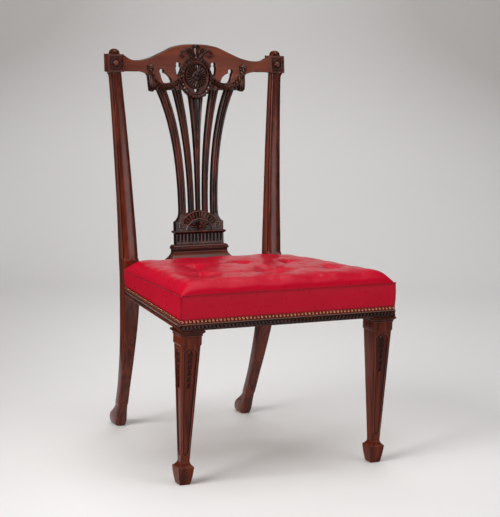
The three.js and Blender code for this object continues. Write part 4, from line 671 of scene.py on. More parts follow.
def seat_height(x, y, half, sizes):
    """z = seam + (crown + dome + ripples - tufts) * side shoulder * front shoulder, at the place x, y."""
    side, front = shoulder(half - np.abs(x), SHOULDER), shoulder(np.maximum(y, 0), SHOULDER)
    rear = shoulder(np.maximum(SEAT_DEPTH - y, 0), REAR_RUN)
    along = clamp(y / SEAT_DEPTH)
    swell = 4 * DOME * along * (1 - along) * (1 - (x / half) ** 2)
    crown = sizes.crown / MM * lerp(REAR_CROWN, 1, rear)
    raised = crown + swell + rear * ripples(x, y) - tuft_sink(x, y, sizes.tuft_depth / MM)
    return seam_height(y) + raised * side * front


def stile_x(z):
    """Middle of the right stile: straight to the top of its plain part, then a slight curve outward."""
    low = lerp(STILE["floor_x"], STILE["seat_x"], z / STILE["plain_top"])
    t = (z - STILE["plain_top"]) / (STILE_TOP - STILE["plain_top"])
    high = STILE["seat_x"] + (STILE["top_x"] - STILE["seat_x"]) * (0.6 * t + 0.4 * t * t)
    return np.where(z < STILE["plain_top"], low, high)


def splat_front(z):
    share = (z - SPLAT["level_z"]) / (CREST["field_bottom"] - SPLAT["level_z"])
    return SPLAT["front"] + SPLAT["lean"] * share


# Between the stiles the leather runs on back to the shoe. JOG is the share of the half width where it steps.
JOG = (float(stile_x(RAIL_TOP)) - STILE["width"] / 2 - STILE["clearance"]) / (
    SEAT_REAR / 2 + SIDE_OVERHANG + SKIRT_OUT / math.cos(SIDE_TURN))
MIDDLE_DEPTH = splat_front(SHOE["foot"]) - SHOE["reach"] * SHOE_FRONT - GAP


def seat_surface(sizes, out=SKIRT_OUT, down=0.0, columns=150, rows=124):
    """Grid (row, column, 3) of the seat's top: rows run back from the front seam, closer at both ends,
    and columns run from side to side, closer at the seams."""
    inner = np.linspace(0, JOG, int(columns * 0.42))[1:]
    edge = JOG + (1 - JOG) * (1 - (1 - np.linspace(0, 1, int(columns * 0.1))) ** 1.6)
    edge[0] = JOG + 0.004
    across = np.concatenate([-edge[::-1], -inner[::-1], [0.0], inner, edge])
    t = np.linspace(0, 1, rows)[:, None]
    back = (t - 0.1 * np.sin(math.pi * t) * (1 - t)) ** 1.15
    y = lerp(-out, np.where(np.abs(across) > JOG + 0.002, SEAT_DEPTH, MIDDLE_DEPTH), back)
    half = frame_half(y) + out / math.cos(SIDE_TURN) + SIDE_OVERHANG * np.maximum(y, 0) / SEAT_DEPTH
    x = across * half
    return at(x, y, seat_height(x, y, half, sizes) - down)


def seam_path(grid):
    """The seam along the left side, the front and the right side of the seat, and its outward directions."""
    left, front, right = grid[::-1, 0], grid[0, 1:-1], grid[:, -1]
    lean = 1 / math.cos(SIDE_TURN)
    outward = np.repeat([(-lean, 0), (-MITRE, -1), (0, -1), (MITRE, -1), (lean, 0)],
                        [len(left) - 1, 1, len(front), 1, len(right) - 1], axis=0)
    return np.concatenate([left, front, right]), outward


def skirt(grid, overhang, belly):
    """Rows below the seam: level t hangs out by belly and is drawn in by t * overhang."""
    path, outward = seam_path(grid)
    z = np.where(SKIRT_LEVELS <= 1, lerp(path[:, 2], SKIRT_NAILS, SKIRT_LEVELS),
                 lerp(SKIRT_NAILS, SKIRT_HEM, (SKIRT_LEVELS - 1) / 0.3))
    away = belly - overhang * np.minimum(SKIRT_LEVELS, 1)
    return at(path[:, 0] + outward[:, 0] * away, path[:, 1] + outward[:, 1] * away, z)


def seat_shape(sizes):
    """Leather cover: the top surface, and a skirt that falls from the seam to the hem. Down the skirt it
    is out by 0.9 sin(pi t) and drawn in to the nails. A second surface closes its thickness."""
    grid, lining = seat_surface(sizes), seat_surface(sizes, out=GAP, down=2.0)
    path, _ = seam_path(grid)
    overhang = SIDE_OVERHANG * np.maximum(path[:, 1], 0) / SEAT_DEPTH
    belly = 0.9 * np.sin(math.pi * np.minimum(SKIRT_LEVELS, 1)) - 0.25 * near(SKIRT_LEVELS, 0.05)
    fall, inner_fall = skirt(grid, overhang, belly), skirt(lining, overhang, 0)
    outer, inner = (np.concatenate([a.reshape(-1, 3), b.reshape(-1, 3)])
                    for a, b in ((grid, fall), (lining, inner_fall)))
    count = grid.shape[0] * grid.shape[1]
    numbers = np.arange(count).reshape(grid.shape[:2])
    seam = np.concatenate([numbers[::-1, 0], numbers[0, 1:-1], numbers[:, -1]])
    ladder = np.concatenate([seam[None], count + np.arange(fall[..., 0].size).reshape(fall.shape[:2])])
    quads = np.stack([ladder[1:, :-1], ladder[1:, 1:], ladder[:-1, 1:], ladder[:-1, :-1]], -1).reshape(-1, 4)
    points, faces = shell(outer, inner, np.concatenate([grid_quads(*grid.shape[:2]), quads]))
    x, y = outer[:count, 0], outer[:count, 1]
    # painted shade in the tufts and the valleys between them, darkest at each tuft's middle
    pits = 0.34 * clamp(tuft_sink(x, y, 1.0))
    for tx, ty in TUFT_PLACES:
        pits = np.maximum(pits, 0.55 * near(np.hypot(x - tx, y - ty), 6.0))
    # darker leather along the seam, down the front corner seams, and from just above the nails to the hem
    corner = np.abs(np.abs(fall[..., 0]) - (SEAT_FRONT / 2 + SKIRT_OUT)) + np.abs(fall[..., 1] + SKIRT_OUT)
    falls = np.maximum(0.35 * near(SKIRT_LEVELS, 0.07), 0.6 * near(corner, 3.0))
    falls = np.maximum(falls, 0.6 * smooth((SKIRT_LEVELS - 0.9) / 0.15))
    return points, faces, np.concatenate([pits, falls.reshape(-1), np.zeros(len(outer))])


def welt_shape(sizes):
    """Piping in the seam: a round bar on the seam line, thicker and thinner where it is stitched."""
    path, outward = seam_path(seat_surface(sizes))
    out = outward / np.linalg.norm(outward, axis=1)[:, None]
    length = np.append(0, np.cumsum(np.linalg.norm(np.diff(path, axis=0), axis=1)))
    even = np.linspace(0, length[-1], int(length[-1] / 1.6))
    x, y, z, away_x, away_y = (np.interp(even, length, row)[:, None] for row in (*path.T, *out.T))
    turn = np.arange(8) * FULL_TURN / 8
    stitch, lift = np.cos(even * FULL_TURN / 6.4)[:, None], 1.1
    radius = 1.25 + 0.18 * stitch
    reach = lift + radius * np.cos(turn)
    rings = at(x + away_x * reach, y + away_y * reach, z + lift + radius * np.sin(turn))
    return loft(rings, 0.3 + 0.5 * (stitch < -0.2))


def stuffing_shape(sizes):
    """Hair pad: the cover's surface 5 lower, closed by a flat bottom over the hessian."""
    top = seat_surface(sizes, out=-SIDE_OVERHANG, down=5.0, columns=60, rows=40)
    top[..., 2] = np.maximum(top[..., 2], 410.5)
    x, y = top[..., :2].reshape(-1, 2).T
    points, faces = shell(top.reshape(-1, 3), at(x, y, 408.0), grid_quads(*top.shape[:2]))
    return points, faces, np.zeros(len(points))


# Seat trim

def nails_shape(sizes):
    """Domed heads in three rows. A head's rings lie r sin b across and h cos b out, for b from its rim,
    a quarter turn, to its middle; the first ring is set back behind the rim."""
    radius, rise = sizes.nail_diameter / MM / 2 * 0.85, 2.7
    b = np.linspace(math.pi / 2, 0, 6)[[0, 0, 1, 2, 3, 4, 5]]
    turn = np.arange(12) * FULL_TURN / 12
    r = radius * np.append(np.sin(b), 0.12)[:, None]
    h = np.append(rise * np.cos(b), rise)[:, None]
    h[0] = -0.6
    # painted shade, darkest at the rim of each head
    dark = np.append(np.sin(b) ** 4, 0)[:, None]
    out, rear, corner = SKIRT_OUT + 0.2, SEAT_DEPTH - 6, 4.0
    wide = out / math.cos(SIDE_TURN)
    rows = [((corner - SEAT_FRONT / 2 - out, -out), (SEAT_FRONT / 2 + out - corner, -out), (0, -1))]
    rows += [((side * (frame_half(corner) + wide), corner - out), (side * (frame_half(rear) + wide), rear),
              (side * math.cos(SIDE_TURN), math.sin(SIDE_TURN))) for side in (-1, 1)]
    shapes = []
    for start, end, away in rows:
        start, run = np.array(start), np.subtract(end, start)
        length = math.hypot(*run)
        x, y = (run[k] / length * r * np.cos(turn) + h * away[k] for k in (0, 1))
        points, faces, shade = loft(at(x, y, NAIL_LEVEL + r * np.sin(turn)), dark)
        for share in np.linspace(0, 1, round(length / (sizes.nail_pitch / MM)) + 1):
            shapes.append((points + [*(start + run * share), 0], faces, shade))
    return gathered(shapes)


def gadroon_shape(sizes):
    """Carved front strip. Along x, lobes of one pitch swell by depth * |sin|; they lean like the two
    sides of a roof from the middle; the section is a fillet, a round and a lower bead. Painted highlights
    light the fillet, the bead and the upper part of each lobe; painted shade darkens the grooves and the
    cuts between the lobes."""
    depth, half, pitch, lean = sizes.gadroon_depth / MM, SEAT_FRONT / 2, 9.3, 8.0
    lobes = round(half / pitch)
    x = np.linspace(-half, half, 20 * lobes + 1)[:, None]
    up, out, line = np.array(FRONT_SECTION).T
    lobe = 1 - np.abs(np.sin(math.pi * lobes * (x / half))) ** 0.9
    reach = GAP + (MOULDING_REACH - GAP) * out
    cut = depth * 1.5 * lobe * np.sin(math.pi * clamp((up - 0.14) / 0.66)) ** 0.5
    ease = np.minimum(1, np.minimum(np.abs(x), half - np.abs(x)) / 30)
    px = x + np.sign(x) * (lean * ease * (up - 0.5) + np.where(np.abs(x) > half - 0.1, reach * MITRE, 0))
    # painted highlight on the upper part of each lobe; the cuts get painted shade
    lit = 0.5 * (1 - lobe) ** 3 * near(up - 0.62, 0.12)
    return loft(at(px, np.minimum(cut, reach - 0.2) - reach, MOULDING_BOTTOM + MOULDING_HEIGHT * up),
                np.minimum(line - lit + 1.3 * cut / depth, 1.0))


def side_moulding_shape():
    """Plain strip along the right side: fillet, hollow and bead, with painted shade in the hollow."""
    across, up = np.array(SIDE_SECTION).T
    out = GAP + (MOULDING_REACH - GAP) * across
    rear = SEAT_DEPTH - GAP
    t = np.linspace(0, 1, 40)[:, None]
    x = lerp(SEAT_FRONT / 2 + MITRE * out, frame_half(rear) + out / math.cos(SIDE_TURN), t)
    rings = at(x, lerp(GAP / 2 - out, rear, t), MOULDING_BOTTOM + MOULDING_HEIGHT * up)
    return loft(rings, 0.7 * near(up - 0.45, 0.14))


# Front legs

def leg_section():
    """Template of a squared section, as (side x, side y, outward x, outward y) for each point: long
    runs of points on the front and outer faces, and a point at each rounded corner."""
    parts = []
    for start, end, out, count in (((-1, -1), (1, -1), (0, -1), 43), ((1, -1), (1, 1), (1, 0), 43),
                                   ((1, 1), (-1, 1), (0, 1), 7), ((-1, 1), (-1, -1), (-1, 0), 7)):
        sides = lerp(np.array(start), np.array(end), np.linspace(0, 1, count)[:, None])
        corner = math.atan2(out[1], out[0]) + math.pi / 4
        parts.append(np.concatenate([sides, np.tile(out, (count, 1))], 1))
        parts.append([(*end, math.cos(corner), math.sin(corner))])
    return np.concatenate(parts)


def panel_half(share):
    """Half the width of a panel, at a share of the shaft's height from its neck."""
    face = lerp(LEG["neck_side"], LEG["side"] - 2 * LEG["step_in"], share)
    return face / 2 - lerp(LEG["neck_margin"], LEG["margin"], share)


def husk_width(down):
    """Half width of a bellflower at a place from its top, 0, to its open end, 1."""
    return straight(((0, 0.1), (0.2, 0.27), (0.5, 0.36), (0.8, 0.5), (0.93, 0.52), (1, 0.3)), down)


def panel_relief(u, w, length, depth):
    """Height and painted shade on a face of the shaft, u across from its middle, w up from its neck: a sunk
    panel with round ends and a raised bead round it, and six bellflowers that shrink downward. Painted
    shade darkens the panel, a line inside its edge and the bellflowers, most at their sides; painted
    highlights light the bead and the open end of each bellflower."""
    half, low, high = panel_half(clamp(w / length)), panel_half(0.0), panel_half(1.0) * 0.7
    foot, top = LEG["foot_gap"] + low, length - LEG["top_gap"] - high
    end = np.where(w < foot, (foot - w) / low, np.where(w > top, (w - top) / high, 0))
    inside = (1 - np.sqrt((u / half) ** 2 + clamp(end) ** 2 + np.maximum(end - 1, 0) * 4)) * half
    sunk = smooth(inside / 1.6 + 0.5)
    edge = near(inside + 0.9, 0.8)
    height = 0.7 * edge - depth * sunk
    shade = 0.22 * sunk + near(inside - 0.8, 1.1) - 0.7 * edge * (1 - sunk)
    for i, size in enumerate(np.linspace(HUSK["top"], HUSK["tip"], HUSK["count"])):
        middle = length - LEG["top_gap"] - HUSK["length"] * (0.75 + i * 0.94)
        down = (middle - w) / HUSK["length"] + 0.5
        v = u / np.maximum(size * husk_width(down), 0.1)
        rise = HUSK["rise"] * dome(v) * clamp(np.minimum(down / 0.12, (1 - down) / 0.1)) ** 0.5
        rise = rise * (1 - 0.3 * np.cos(FULL_TURN * v) * smooth((down - 0.35) / 0.4))
        raised = (down > 0) & (down < 1) & (np.abs(v) < 1) & (rise - depth > height - 0.01)
        height = np.where(raised, rise - depth, height)
        # a painted highlight on the open end
        lip = 0.5 * smooth((down - 0.82) / 0.08) * clamp(rise / 2)
        shade = np.where(raised, 0.72 + 0.5 * (1 - clamp(rise / 2.8)) - lip, shade)
    return height, np.clip(shade, -1.0, 1.0)


def shaft_plan(z):
    """Inner x, outer x, front y and back y of the tapered shaft at a level."""
    t = (SHAFT_TOP - z) / (SHAFT_TOP - LEG["neck_height"])
    outer = SEAT_FRONT / 2 - lerp(LEG["step_in"], LEG["neck_inset"], t)
    front = lerp(LEG["step_in"], LEG["neck_setback"], t)
    size = lerp(LEG["side"] - 2 * LEG["step_in"], LEG["neck_side"], t)
    return np.array([outer - size, outer, front, front + size])


def leg_stops():
    """Sections of the right front leg from the floor up: level, the four sides of its plan, and how far
    the outer face tapers in at the back."""
    neck_z, side, taper, widest = LEG["neck_height"], LEG["side"], LEG["taper"], LEG["foot_widest"]
    neck, grow = shaft_plan(neck_z), np.array([-1, 1, -1, 1])
    foot, base = ((LEG[key] - LEG["neck_side"]) / 2 for key in ("foot_side", "foot_base"))
    swell_from, swell_to = 3.5, 39.5
    sole = ((0.0, base - 3.5), (0.6, base - 1.6), (swell_from, base))
    stops = [(z, neck + grow * out, 0) for z, out in sole]
    for t in np.linspace(0, 1, 14)[1:]:
        swell = base + (foot - base) * (0.5 * t + 0.5 * math.sin(t * math.pi / 2))
        stops.append((lerp(swell_from, swell_to, t), neck + grow * swell, 0))
    lip = ((widest - 1.4, foot - 0.2), (widest - 0.2, foot - 1.2), (widest + 0.2, foot - 2.6))
    stops += [(z, neck + grow * out, 0) for z, out in lip]
    for t in np.linspace(0, 1, 8)[1:]:
        hollow = (foot - 2.6) * (1 - math.sin(t * math.pi / 2)) ** 1.3
        stops.append((lerp(widest + 0.2, neck_z, t), neck + grow * hollow, taper / 2 * t))
    for z in np.linspace(neck_z, SHAFT_TOP, 178)[1:]:
        stops.append((z, shaft_plan(z), lerp(taper / 2, taper, (z - neck_z) / (SHAFT_TOP - neck_z))))
    collar = np.array([SEAT_FRONT / 2 - side, SEAT_FRONT / 2, 0.0, side])
    corona = CAP_TOP - LEG["cap_lip"]
    profile = (  # level, and reach beyond the collar
        (SHAFT_TOP + 0.4, 0.6 - LEG["step_in"]), (SHAFT_TOP + 1.3, -0.8), (COLLAR_BOTTOM - 0.3, -0.2),
        (COLLAR_BOTTOM + 0.8, 0), (CAP_BOTTOM - 0.6, 0), (CAP_BOTTOM - 0.2, 1.3), (CAP_BOTTOM + 0.6, 1.9),
        (CAP_BOTTOM + 1.5, 1.5), (CAP_BOTTOM + 1.9, 0.9), (CAP_BOTTOM + 3.2, 1.3), (CAP_BOTTOM + 4.8, 2.3),
        (CAP_BOTTOM + 6.3, 3.9), (corona - 0.5, 4.7), (corona, 5.3), (corona + 0.5, 5.8), (CAP_TOP - 0.7, 5.8),
        (CAP_TOP - 0.1, 5.3), (CAP_TOP, 4.6), (CAP_TOP + 0.05, 0), (RAIL_TOP, 0),
    )
    return stops + [(z, collar + grow * out, taper) for z, out in profile]


def leg_shape(depth):
    """Right front leg, a tapered square shaft between a spade foot and a capped collar. The carving
    moves the two outer faces."""
    levels, plans, tapers = zip(*leg_stops())
    z, taper = np.array(levels)[:, None], np.array(tapers)[:, None]
    x0, x1, y0, y1 = np.array(plans).T[..., None]
    ax, ay, ox, oy = leg_section().T
    edge = 0.9
    x = (x0 + x1) / 2 + ax * ((x1 - x0) / 2 - edge) + ox * edge
    y = (y0 + y1) / 2 + ay * ((y1 - y0) / 2 - edge) + oy * edge
    x = x - taper * clamp((y - y0) / (y1 - y0)) * clamp(2 * (x - x0) / (x1 - x0) - 1)
    on_shaft = (z > LEG["neck_height"] - 0.01) & (z < SHAFT_TOP + 0.01)
    across = np.where(oy == -1, x - (x0 + x1) / 2, y - (y0 + y1) / 2)
    height, shade = panel_relief(across, z - LEG["neck_height"], SHAFT_TOP - LEG["neck_height"], depth)
    carved = on_shaft & ((oy == -1) | (ox == 1))
    height, shade = np.where(carved, height, 0), np.where(carved, shade, 0)
    x, y = x + ox * height, y + oy * height
    x = np.where(z > CAP_TOP + 0.01, np.minimum(x, frame_half(y)), x)
    # the cap darker, with a painted highlight along the lip at its foot
    shade = shade + 0.55 * (z > CAP_BOTTOM + 1.2) - 0.8 * near(z - CAP_BOTTOM - 0.6, 0.5)
    # painted highlight on the lip of the spade foot
    shade = shade - 0.5 * near(z - LEG["foot_widest"] + 0.8, 0.8)
    # painted highlight along the outer corners of the shaft
    shade = np.where((ox * oy != 0) & (ox > 0) & on_shaft, -0.6, shade)
    return loft(at(x, y, z), shade)


# Stiles

def stile_y(z):
    """Middle of a stile in depth: it sweeps back as a power of the fall below its neck, and rakes back
    above it along a hyperbola."""
    rise = z - STILE["neck_level"]
    low = NECK_Y + STILE["sweep"] * (np.maximum(-rise, 0) / STILE["neck_level"]) ** 1.72
    high = NECK_Y + RAKE_SLOPE * (np.hypot(rise, STILE["ease"]) - STILE["ease"])
    return np.where(rise < 0, low, high)


def stile_rings(x, y, z, width, depth, swell, soft, moulded):
    """Rings of 33 points. The moulded front swells between two quirks: at angle a it lies at
    x + (w/2 - q) cos a, front + swell (1 - sin(a)^0.85). The plain front is flat between corners
    of radius soft, as at the back; moulded, 0 to 1, blends from the plain front to the moulded one."""
    half, front, back = width / 2, y - depth / 2, y + depth / 2
    quirk = STILE["quirk"]
    notch = [(half, swell + quirk + 1.2), (half - 0.25, swell + quirk * 0.6),
             (half - quirk * 0.5, swell + quirk * 0.3), (half - quirk * 0.85, swell + quirk * 0.45)]
    round_front = [((half - quirk) * math.cos(a), swell * (1 - math.sin(a) ** 0.85))
                   for a in np.linspace(math.pi, 0, 17)]
    carved = [(-across, down) for across, down in notch] + round_front + notch[::-1]
    arc = [(soft * (1 - math.cos(a)), soft * (1 - math.sin(a))) for a in np.linspace(0, math.pi / 2, 8)]
    plain = [(inward - half, down) for inward, down in arc]
    plain += [((half - soft) * s, 0 * half) for s in np.linspace(-1, 1, 11)[1:-1]]
    plain += [(half - inward, down) for inward, down in arc[::-1]]
    columns = [(x + lerp(p[0], c[0], moulded), front + lerp(p[1], c[1], moulded))
               for p, c in zip(plain, carved)]
    turn = np.linspace(0, math.pi / 2, 4)
    columns += [(x + half - soft * (1 - math.cos(a)), back - soft * (1 - math.sin(a))) for a in turn]
    columns += [(x - half + soft * (1 - math.sin(a)), back - soft * (1 - math.cos(a))) for a in turn]
    xs, ys = np.transpose(columns, (1, 2, 0))
    return at(xs, ys, z[:, None])


def stile_shape():
    """Right stile: squared below the seat, moulded above it, on a foot that reaches back."""
    height, corner = STILE["foot_height"], 2.2

    def body(z, moulded, soft, extra=0.0):
        width, depth = (through(table, z / STILE_TOP) for table in (STILE_WIDTH, STILE_DEPTH))
        return stile_rings(stile_x(z) + extra / 2, stile_y(z), z, STILE["width"] * width + extra,
                           STILE["depth"] * depth, STILE["arch"] * depth, soft, moulded)

    share = np.linspace(0, 1, 25)[:-1]
    table = np.array(REAR_FOOT)
    front, back, width = (through(table[:, [0, k]], share) for k in (1, 2, 3))
    ankle_y, ankle_half = stile_y(height), STILE["depth"] * through(STILE_DEPTH, height / STILE_TOP) / 2
    front = ankle_y - ankle_half + STILE["foot_reach"] * front
    back = ankle_y + ankle_half + STILE["foot_reach"] * back
    width = STILE["ankle"] * width * (1 - 0.1 * np.exp(-share / 0.03))
    z = share * height
    foot = stile_rings(stile_x(z), (front + back) / 2, z, width, back - front, 0 * z,
                       lerp(9.0, 3.0, share ** 2), 0 * z)
    flare_from = STILE_TOP - STILE["flare_height"]
    z = np.concatenate([np.linspace(height, 436.5, 90), np.linspace(437.5, 444.5, 12),
                        np.linspace(446.0, flare_from, 110)])
    middle = body(z, smooth((z - 437.5) / 5.5), corner + 0.8 * smooth((200 - z) / 140))
    t = np.linspace(0, 1, 9)[1:]
    flare = body(lerp(flare_from, STILE_TOP, t), 1 + 0 * t, corner + 0 * t,
                 STILE["flare_reach"] * (1 - dome(t)))
    rings = np.concatenate([foot, middle, flare])
    # painted shade in the quirks beside the moulded front, and painted highlights on its two outer edges
    groove = np.zeros(rings.shape[1])
    groove[[2, 3, 21, 22]] = 0.75
    groove[[0, 24]] = -0.4
    return loft(rings, groove * smooth((rings[:, :1, 2] - 438) / 6))


# Crest

def crest_face(x, z):
    """Front of the crest: bowed in plan as 1 - (x / half)^2, and raked."""
    return BLOCK_FRONT + CREST["bow"] * (1 - (x / BLOCK["x"]) ** 2) + RAKE_SLOPE * (z - BLOCK["z"])


def crest_top(x):
    return CREST["dip"] + CREST["rise"] * through(CREST_TOP, np.abs(x) / BLOCK_INNER)


def crest_bottom(x):
    """Lower edge: the field's shaped side, or the garland's ellipse where that hangs lower."""
    share = (np.abs(x) - CREST["field_half"]) / (CREST["field_end"] - CREST["field_half"])
    edge = lerp(CREST["field_bottom"], CREST["underside"], straight(UNDERSIDE, clamp(share)))
    half_width, half_height = (GARLAND[k] + GARLAND["backing"] for k in ("half_width", "half_height"))
    inside = dome(x / half_width)
    return np.minimum(edge, np.where(inside > 0, GARLAND["z"] - half_height * inside, CREST["dip"]))


def hole_loop(hole, side):
    """Outline of a piercing: most of a circle for its head, then the points of its body."""
    x, z, radius, reach, fall, body = hole
    head = np.stack(polar(x, z, radius, np.linspace(-0.1, 0.6, 14) * FULL_TURN), -1)
    rest = (x, z) - np.array(body)[::-1] * (reach, fall)
    return np.concatenate([head, rest]) * [side, 1]


def swag_point(share):
    """Place on the swag's middle line, from the garland, 0, to the rosette, 1."""
    start = GARLAND["half_width"] + GARLAND["backing"]
    top = DROP["rosette_z"] - DROP["rosette"] * 0.6
    return lerp(start, DROP["rosette_x"], share), lerp(top, CREST["field_bottom"] + 7.2, through(SWAG, share))


def board_relief(x, z):
    """Plain field with a painted shadow round the garland, painted shade along its lower edge, and painted
    shade in the hollows of the ribs, which run on into the board under the swags.
    """
    half_width, half_height, shadow_out = GARLAND["half_width"], GARLAND["half_height"], 4.5
    shadow = np.hypot(x / (half_width + shadow_out), (z - GARLAND["z"]) / (half_height + shadow_out))
    ring = np.abs(shadow - 1) * half_height
    across = np.abs(x)
    share = clamp((across - half_width) / (DROP["rosette_x"] - half_width))
    inward, bottom = across < DROP["x"] - 4.5, CREST["field_bottom"]
    under = smooth((swag_point(share)[1] - 3.0 - z) / 3.0) * (across > half_width + 1.5) * inward
    # painted shadow round the garland, and painted shade along the field's lower edge
    shade = np.maximum(0.7 * near(ring, 4.0), 0.5 * smooth((bottom + 10 - z) / 5) * inward)
    height = 0 * x
    for _, head, _, width, _ in RIBS[1:]:
        v = np.abs(across - head - 0.28 * (z - bottom)) / (width / 2)
        hollow = under * smooth((v - 0.42) / 0.12) * smooth((0.92 - v) / 0.1)
        height = height - 2.0 * hollow
        # painted shade in the rib hollows
        shade = np.maximum(shade, 0.8 * hollow)
    return height, shade


def crest_board():
    """Serpentine board, bowed in plan and raked, pierced by four shaped holes and a small slot."""
    places = np.linspace(-BLOCK_INNER - 1, BLOCK_INNER + 1, 336)
    bottom, top = (np.stack([places, edge(places)], -1) for edge in (crest_bottom, crest_top))
    slot_z, slot_half_width, slot_half_height = 845.25, 5.2, 5.75
    turn = np.arange(16) / 16 * FULL_TURN
    slot = np.stack([slot_half_width * np.cos(turn), slot_z + slot_half_height * np.sin(turn)], -1)
    holes = [hole_loop(hole, side) for hole in (INNER_HOLE, OUTER_HOLE) for side in (1, -1)]
    outline = np.concatenate([bottom, top[::-1]])
    # rim_shade paints a dark outline on the board's edges and painted shade on the walls of the holes
    return plate([outline, *holes, slot], 1.4, crest_face, CREST["depth"], board_relief, 1.6, 6.0,
                 rim_shade=0.8)


def leaf(x, z, half_length, half_width, rise, turn=0.0, point=0.5, groove=0.0):
    """Raised leaf or husk on the crest, with its length along turn, in radians from +X towards +Z.
    Over its plan, with u along and v across it from -1 to 1, half width w(u) = (1 - u^2)^point *
    (1 - 0.25 u), height = rise * sqrt(1 - u^2)^0.6 * sqrt(1 - v^2) * (1 - groove * cos(3 pi v))."""
    u = np.sin(np.linspace(-math.pi / 2, math.pi / 2, 15))[1:-1, None]
    angle, sunk = np.linspace(0, math.pi, 11), -1.2
    v = np.cos(angle)
    height = rise * (1 - u * u) ** 0.3 * np.sin(angle) * (1 - groove * np.cos(3 * math.pi * v))
    up = np.concatenate([height, np.full((len(u), 3), sunk)], 1)
    across = half_width * (1 - u * u) ** point * (1 - 0.25 * u) * np.append(v, [-0.8, 0.0, 0.8])
    px = x + half_length * u * math.cos(turn) - across * math.sin(turn)
    pz = z + half_length * u * math.sin(turn) + across * math.cos(turn)
    # painted shade toward the foot of the leaf, and a painted highlight along its ridge
    shade = 0.9 * (1 - clamp(up / rise)) ** 1.6 - 0.5 * smooth((up / rise - 0.82) / 0.16)
    return loft(at(px, crest_face(px, pz) - up, pz), shade)


def leaf_ring(x, z, reach, angles, *form):
    """Leaves round a middle, each pointing outward from it."""
    return [leaf(*polar(x, z, reach, a), *form[:3], a, *form[3:]) for a in angles]


def dish(face, x, z, rows, lobes=0, squash=1.0, columns=48):
    """Round form on a face, from rows of (radius, height, groove, painted shade):
    height(r, a) = height - groove * sin(lobes * a / 2)^1.6, with painted shade in the grooves."""
    r, up, groove, shade = np.array(rows, float).T[..., None]
    columns = max(columns, lobes * 8)
    a = np.arange(columns) * FULL_TURN / columns
    valley = groove * (np.sin(lobes * a / 2) ** 2) ** 0.8
    px, pz = polar(x, z, r, a, squash)
    rings = at(px, face(px, pz) - up + valley, pz)
    return loft(rings, np.minimum(shade + 1.1 * valley / max(groove.max(), 1.0), 1.0))


def block_face(x, z):
    return BLOCK_FRONT + RAKE_SLOPE * (z - BLOCK["z"]) + 0 * x


def block_relief(x, z):
    """Raised square frame, sunk round with a ring and a ball: h = sums of half circles in r. Painted shade
    darkens the channels beside the ring and a line at the foot of the frame; painted highlights light the
    frame, the ring and the top of the ball.
    """
    dx, dz = x - BLOCK["x"], z - BLOCK["z"]
    r = np.hypot(dx, dz)
    square = np.maximum(np.abs(dx) + 1.0, np.abs(dz) - 0.6)
    border = 0.9 * smooth((square - 16.6) / 0.9)
    sunk = smooth(15.2 - r)
    ring, boss = 2.9 * dome((r - 12.8) / 1.7), 7.2 * dome(r / 8.6)
    pit = near(r - 10.2, 1.3) + near(r - 15.0, 0.9)
    line = near(square - 16.2, 0.8) * (1 - sunk)
    lit = 0.3 * border + 0.4 * near(r - 12.8, 1.0) + 0.35 * (boss > 5.5)
    return border - 3.5 * sunk + np.maximum(ring, boss), np.clip(0.9 * pit + 0.7 * line - lit, -1.0, 1.0)


def corner_block():
    """Right corner block, with an ear on its top and a pearl in front of the ear."""
    x, z, half_x, half_z = BLOCK["x"], BLOCK["z"], BLOCK["width"] / 2, BLOCK["height"] / 2
    square = [(x + a * half_x, z + b * half_z) for a, b in ((-1, -1), (1, -1), (1, 1), (-1, 1))]
    body = plate([square], 0.9, block_face, BLOCK["depth"], block_relief, 1.2, 1.5)
    top, ear_x = z + half_z, x - 0.6
    middle = block_face(x, top) + BLOCK["depth"] / 2
    # the ear's rows: radius, height, groove and painted shade; a painted highlight where the shade is below 0
    ear = dish(lambda px, pz: middle, ear_x, top, (
        (0.3, 9, 0, 0.6), (5, 9, 0, 0.9), (6.4, 9.4, 0, 0.9), (7.4, 11.2, 0, 0.1), (9, 12, 0, -0.3),
        (10.8, 11, 0, 0), (11.6, 8.2, 0, 0.2), (11.8, 0, 0, 0.4), (11, -7, 0, 0), (7.6, -10.5, 0, 0),
        (0.3, -11.5, 0, 0),
    ), squash=1.1, columns=40)
    return gathered([body, ear, ball((ear_x, middle - 9.6, top + 5.4), (4.9, 4.4, 4.9))])


def medallion():
    """Sunflower roundel: a rim, petals between grooves and eight small leaves round a boss; painted
    highlights light the rim and the petals, and painted shade darkens the grooves and the rings between parts.
    """
    rows = np.array((  # share of the radius, height, depth of a groove, painted shade (highlight below 0)
        (0.01, 6.2, 0, 0), (0.07, 6, 0, 0), (0.1, 5.2, 0, 0.5), (0.13, 4.9, 0, 0.5), (0.2, 5.8, 0, 0),
        (0.27, 5.6, 0, 0), (0.31, 4.6, 0, 0.6), (0.34, 3.6, 0.3, 0.8), (0.37, 3.8, 1, 0.3),
        (0.42, 4.6, 2.6, -0.3), (0.5, 4.9, 3.4, -0.6), (0.62, 5, 3.6, -0.6), (0.74, 4.8, 3.5, -0.6),
        (0.8, 4.4, 2.6, -0.3), (0.84, 3.6, 1, 0.4), (0.865, 2.6, 0, 0.9), (0.885, 3.2, 0, 0.8),
        (0.905, 5.2, 0, 0.2), (0.93, 6.4, 0, -0.4), (0.955, 6.4, 0, -0.4), (0.98, 5, 0, 0.2),
        (1, 2.6, 0, 0.6), (1, -1.2, 0, 0.6),
    ))
    z, radius = MEDALLION["z"], MEDALLION["radius"]
    disc = dish(crest_face, 0.0, z, rows * (radius, 1, 1, 1), MEDALLION["petals"], squash=1.04)
    return gathered([disc, *leaf_ring(0.0, z, 0.2 * radius, np.arange(8) * math.pi / 4, 2.2, 1.9, 7.4)])


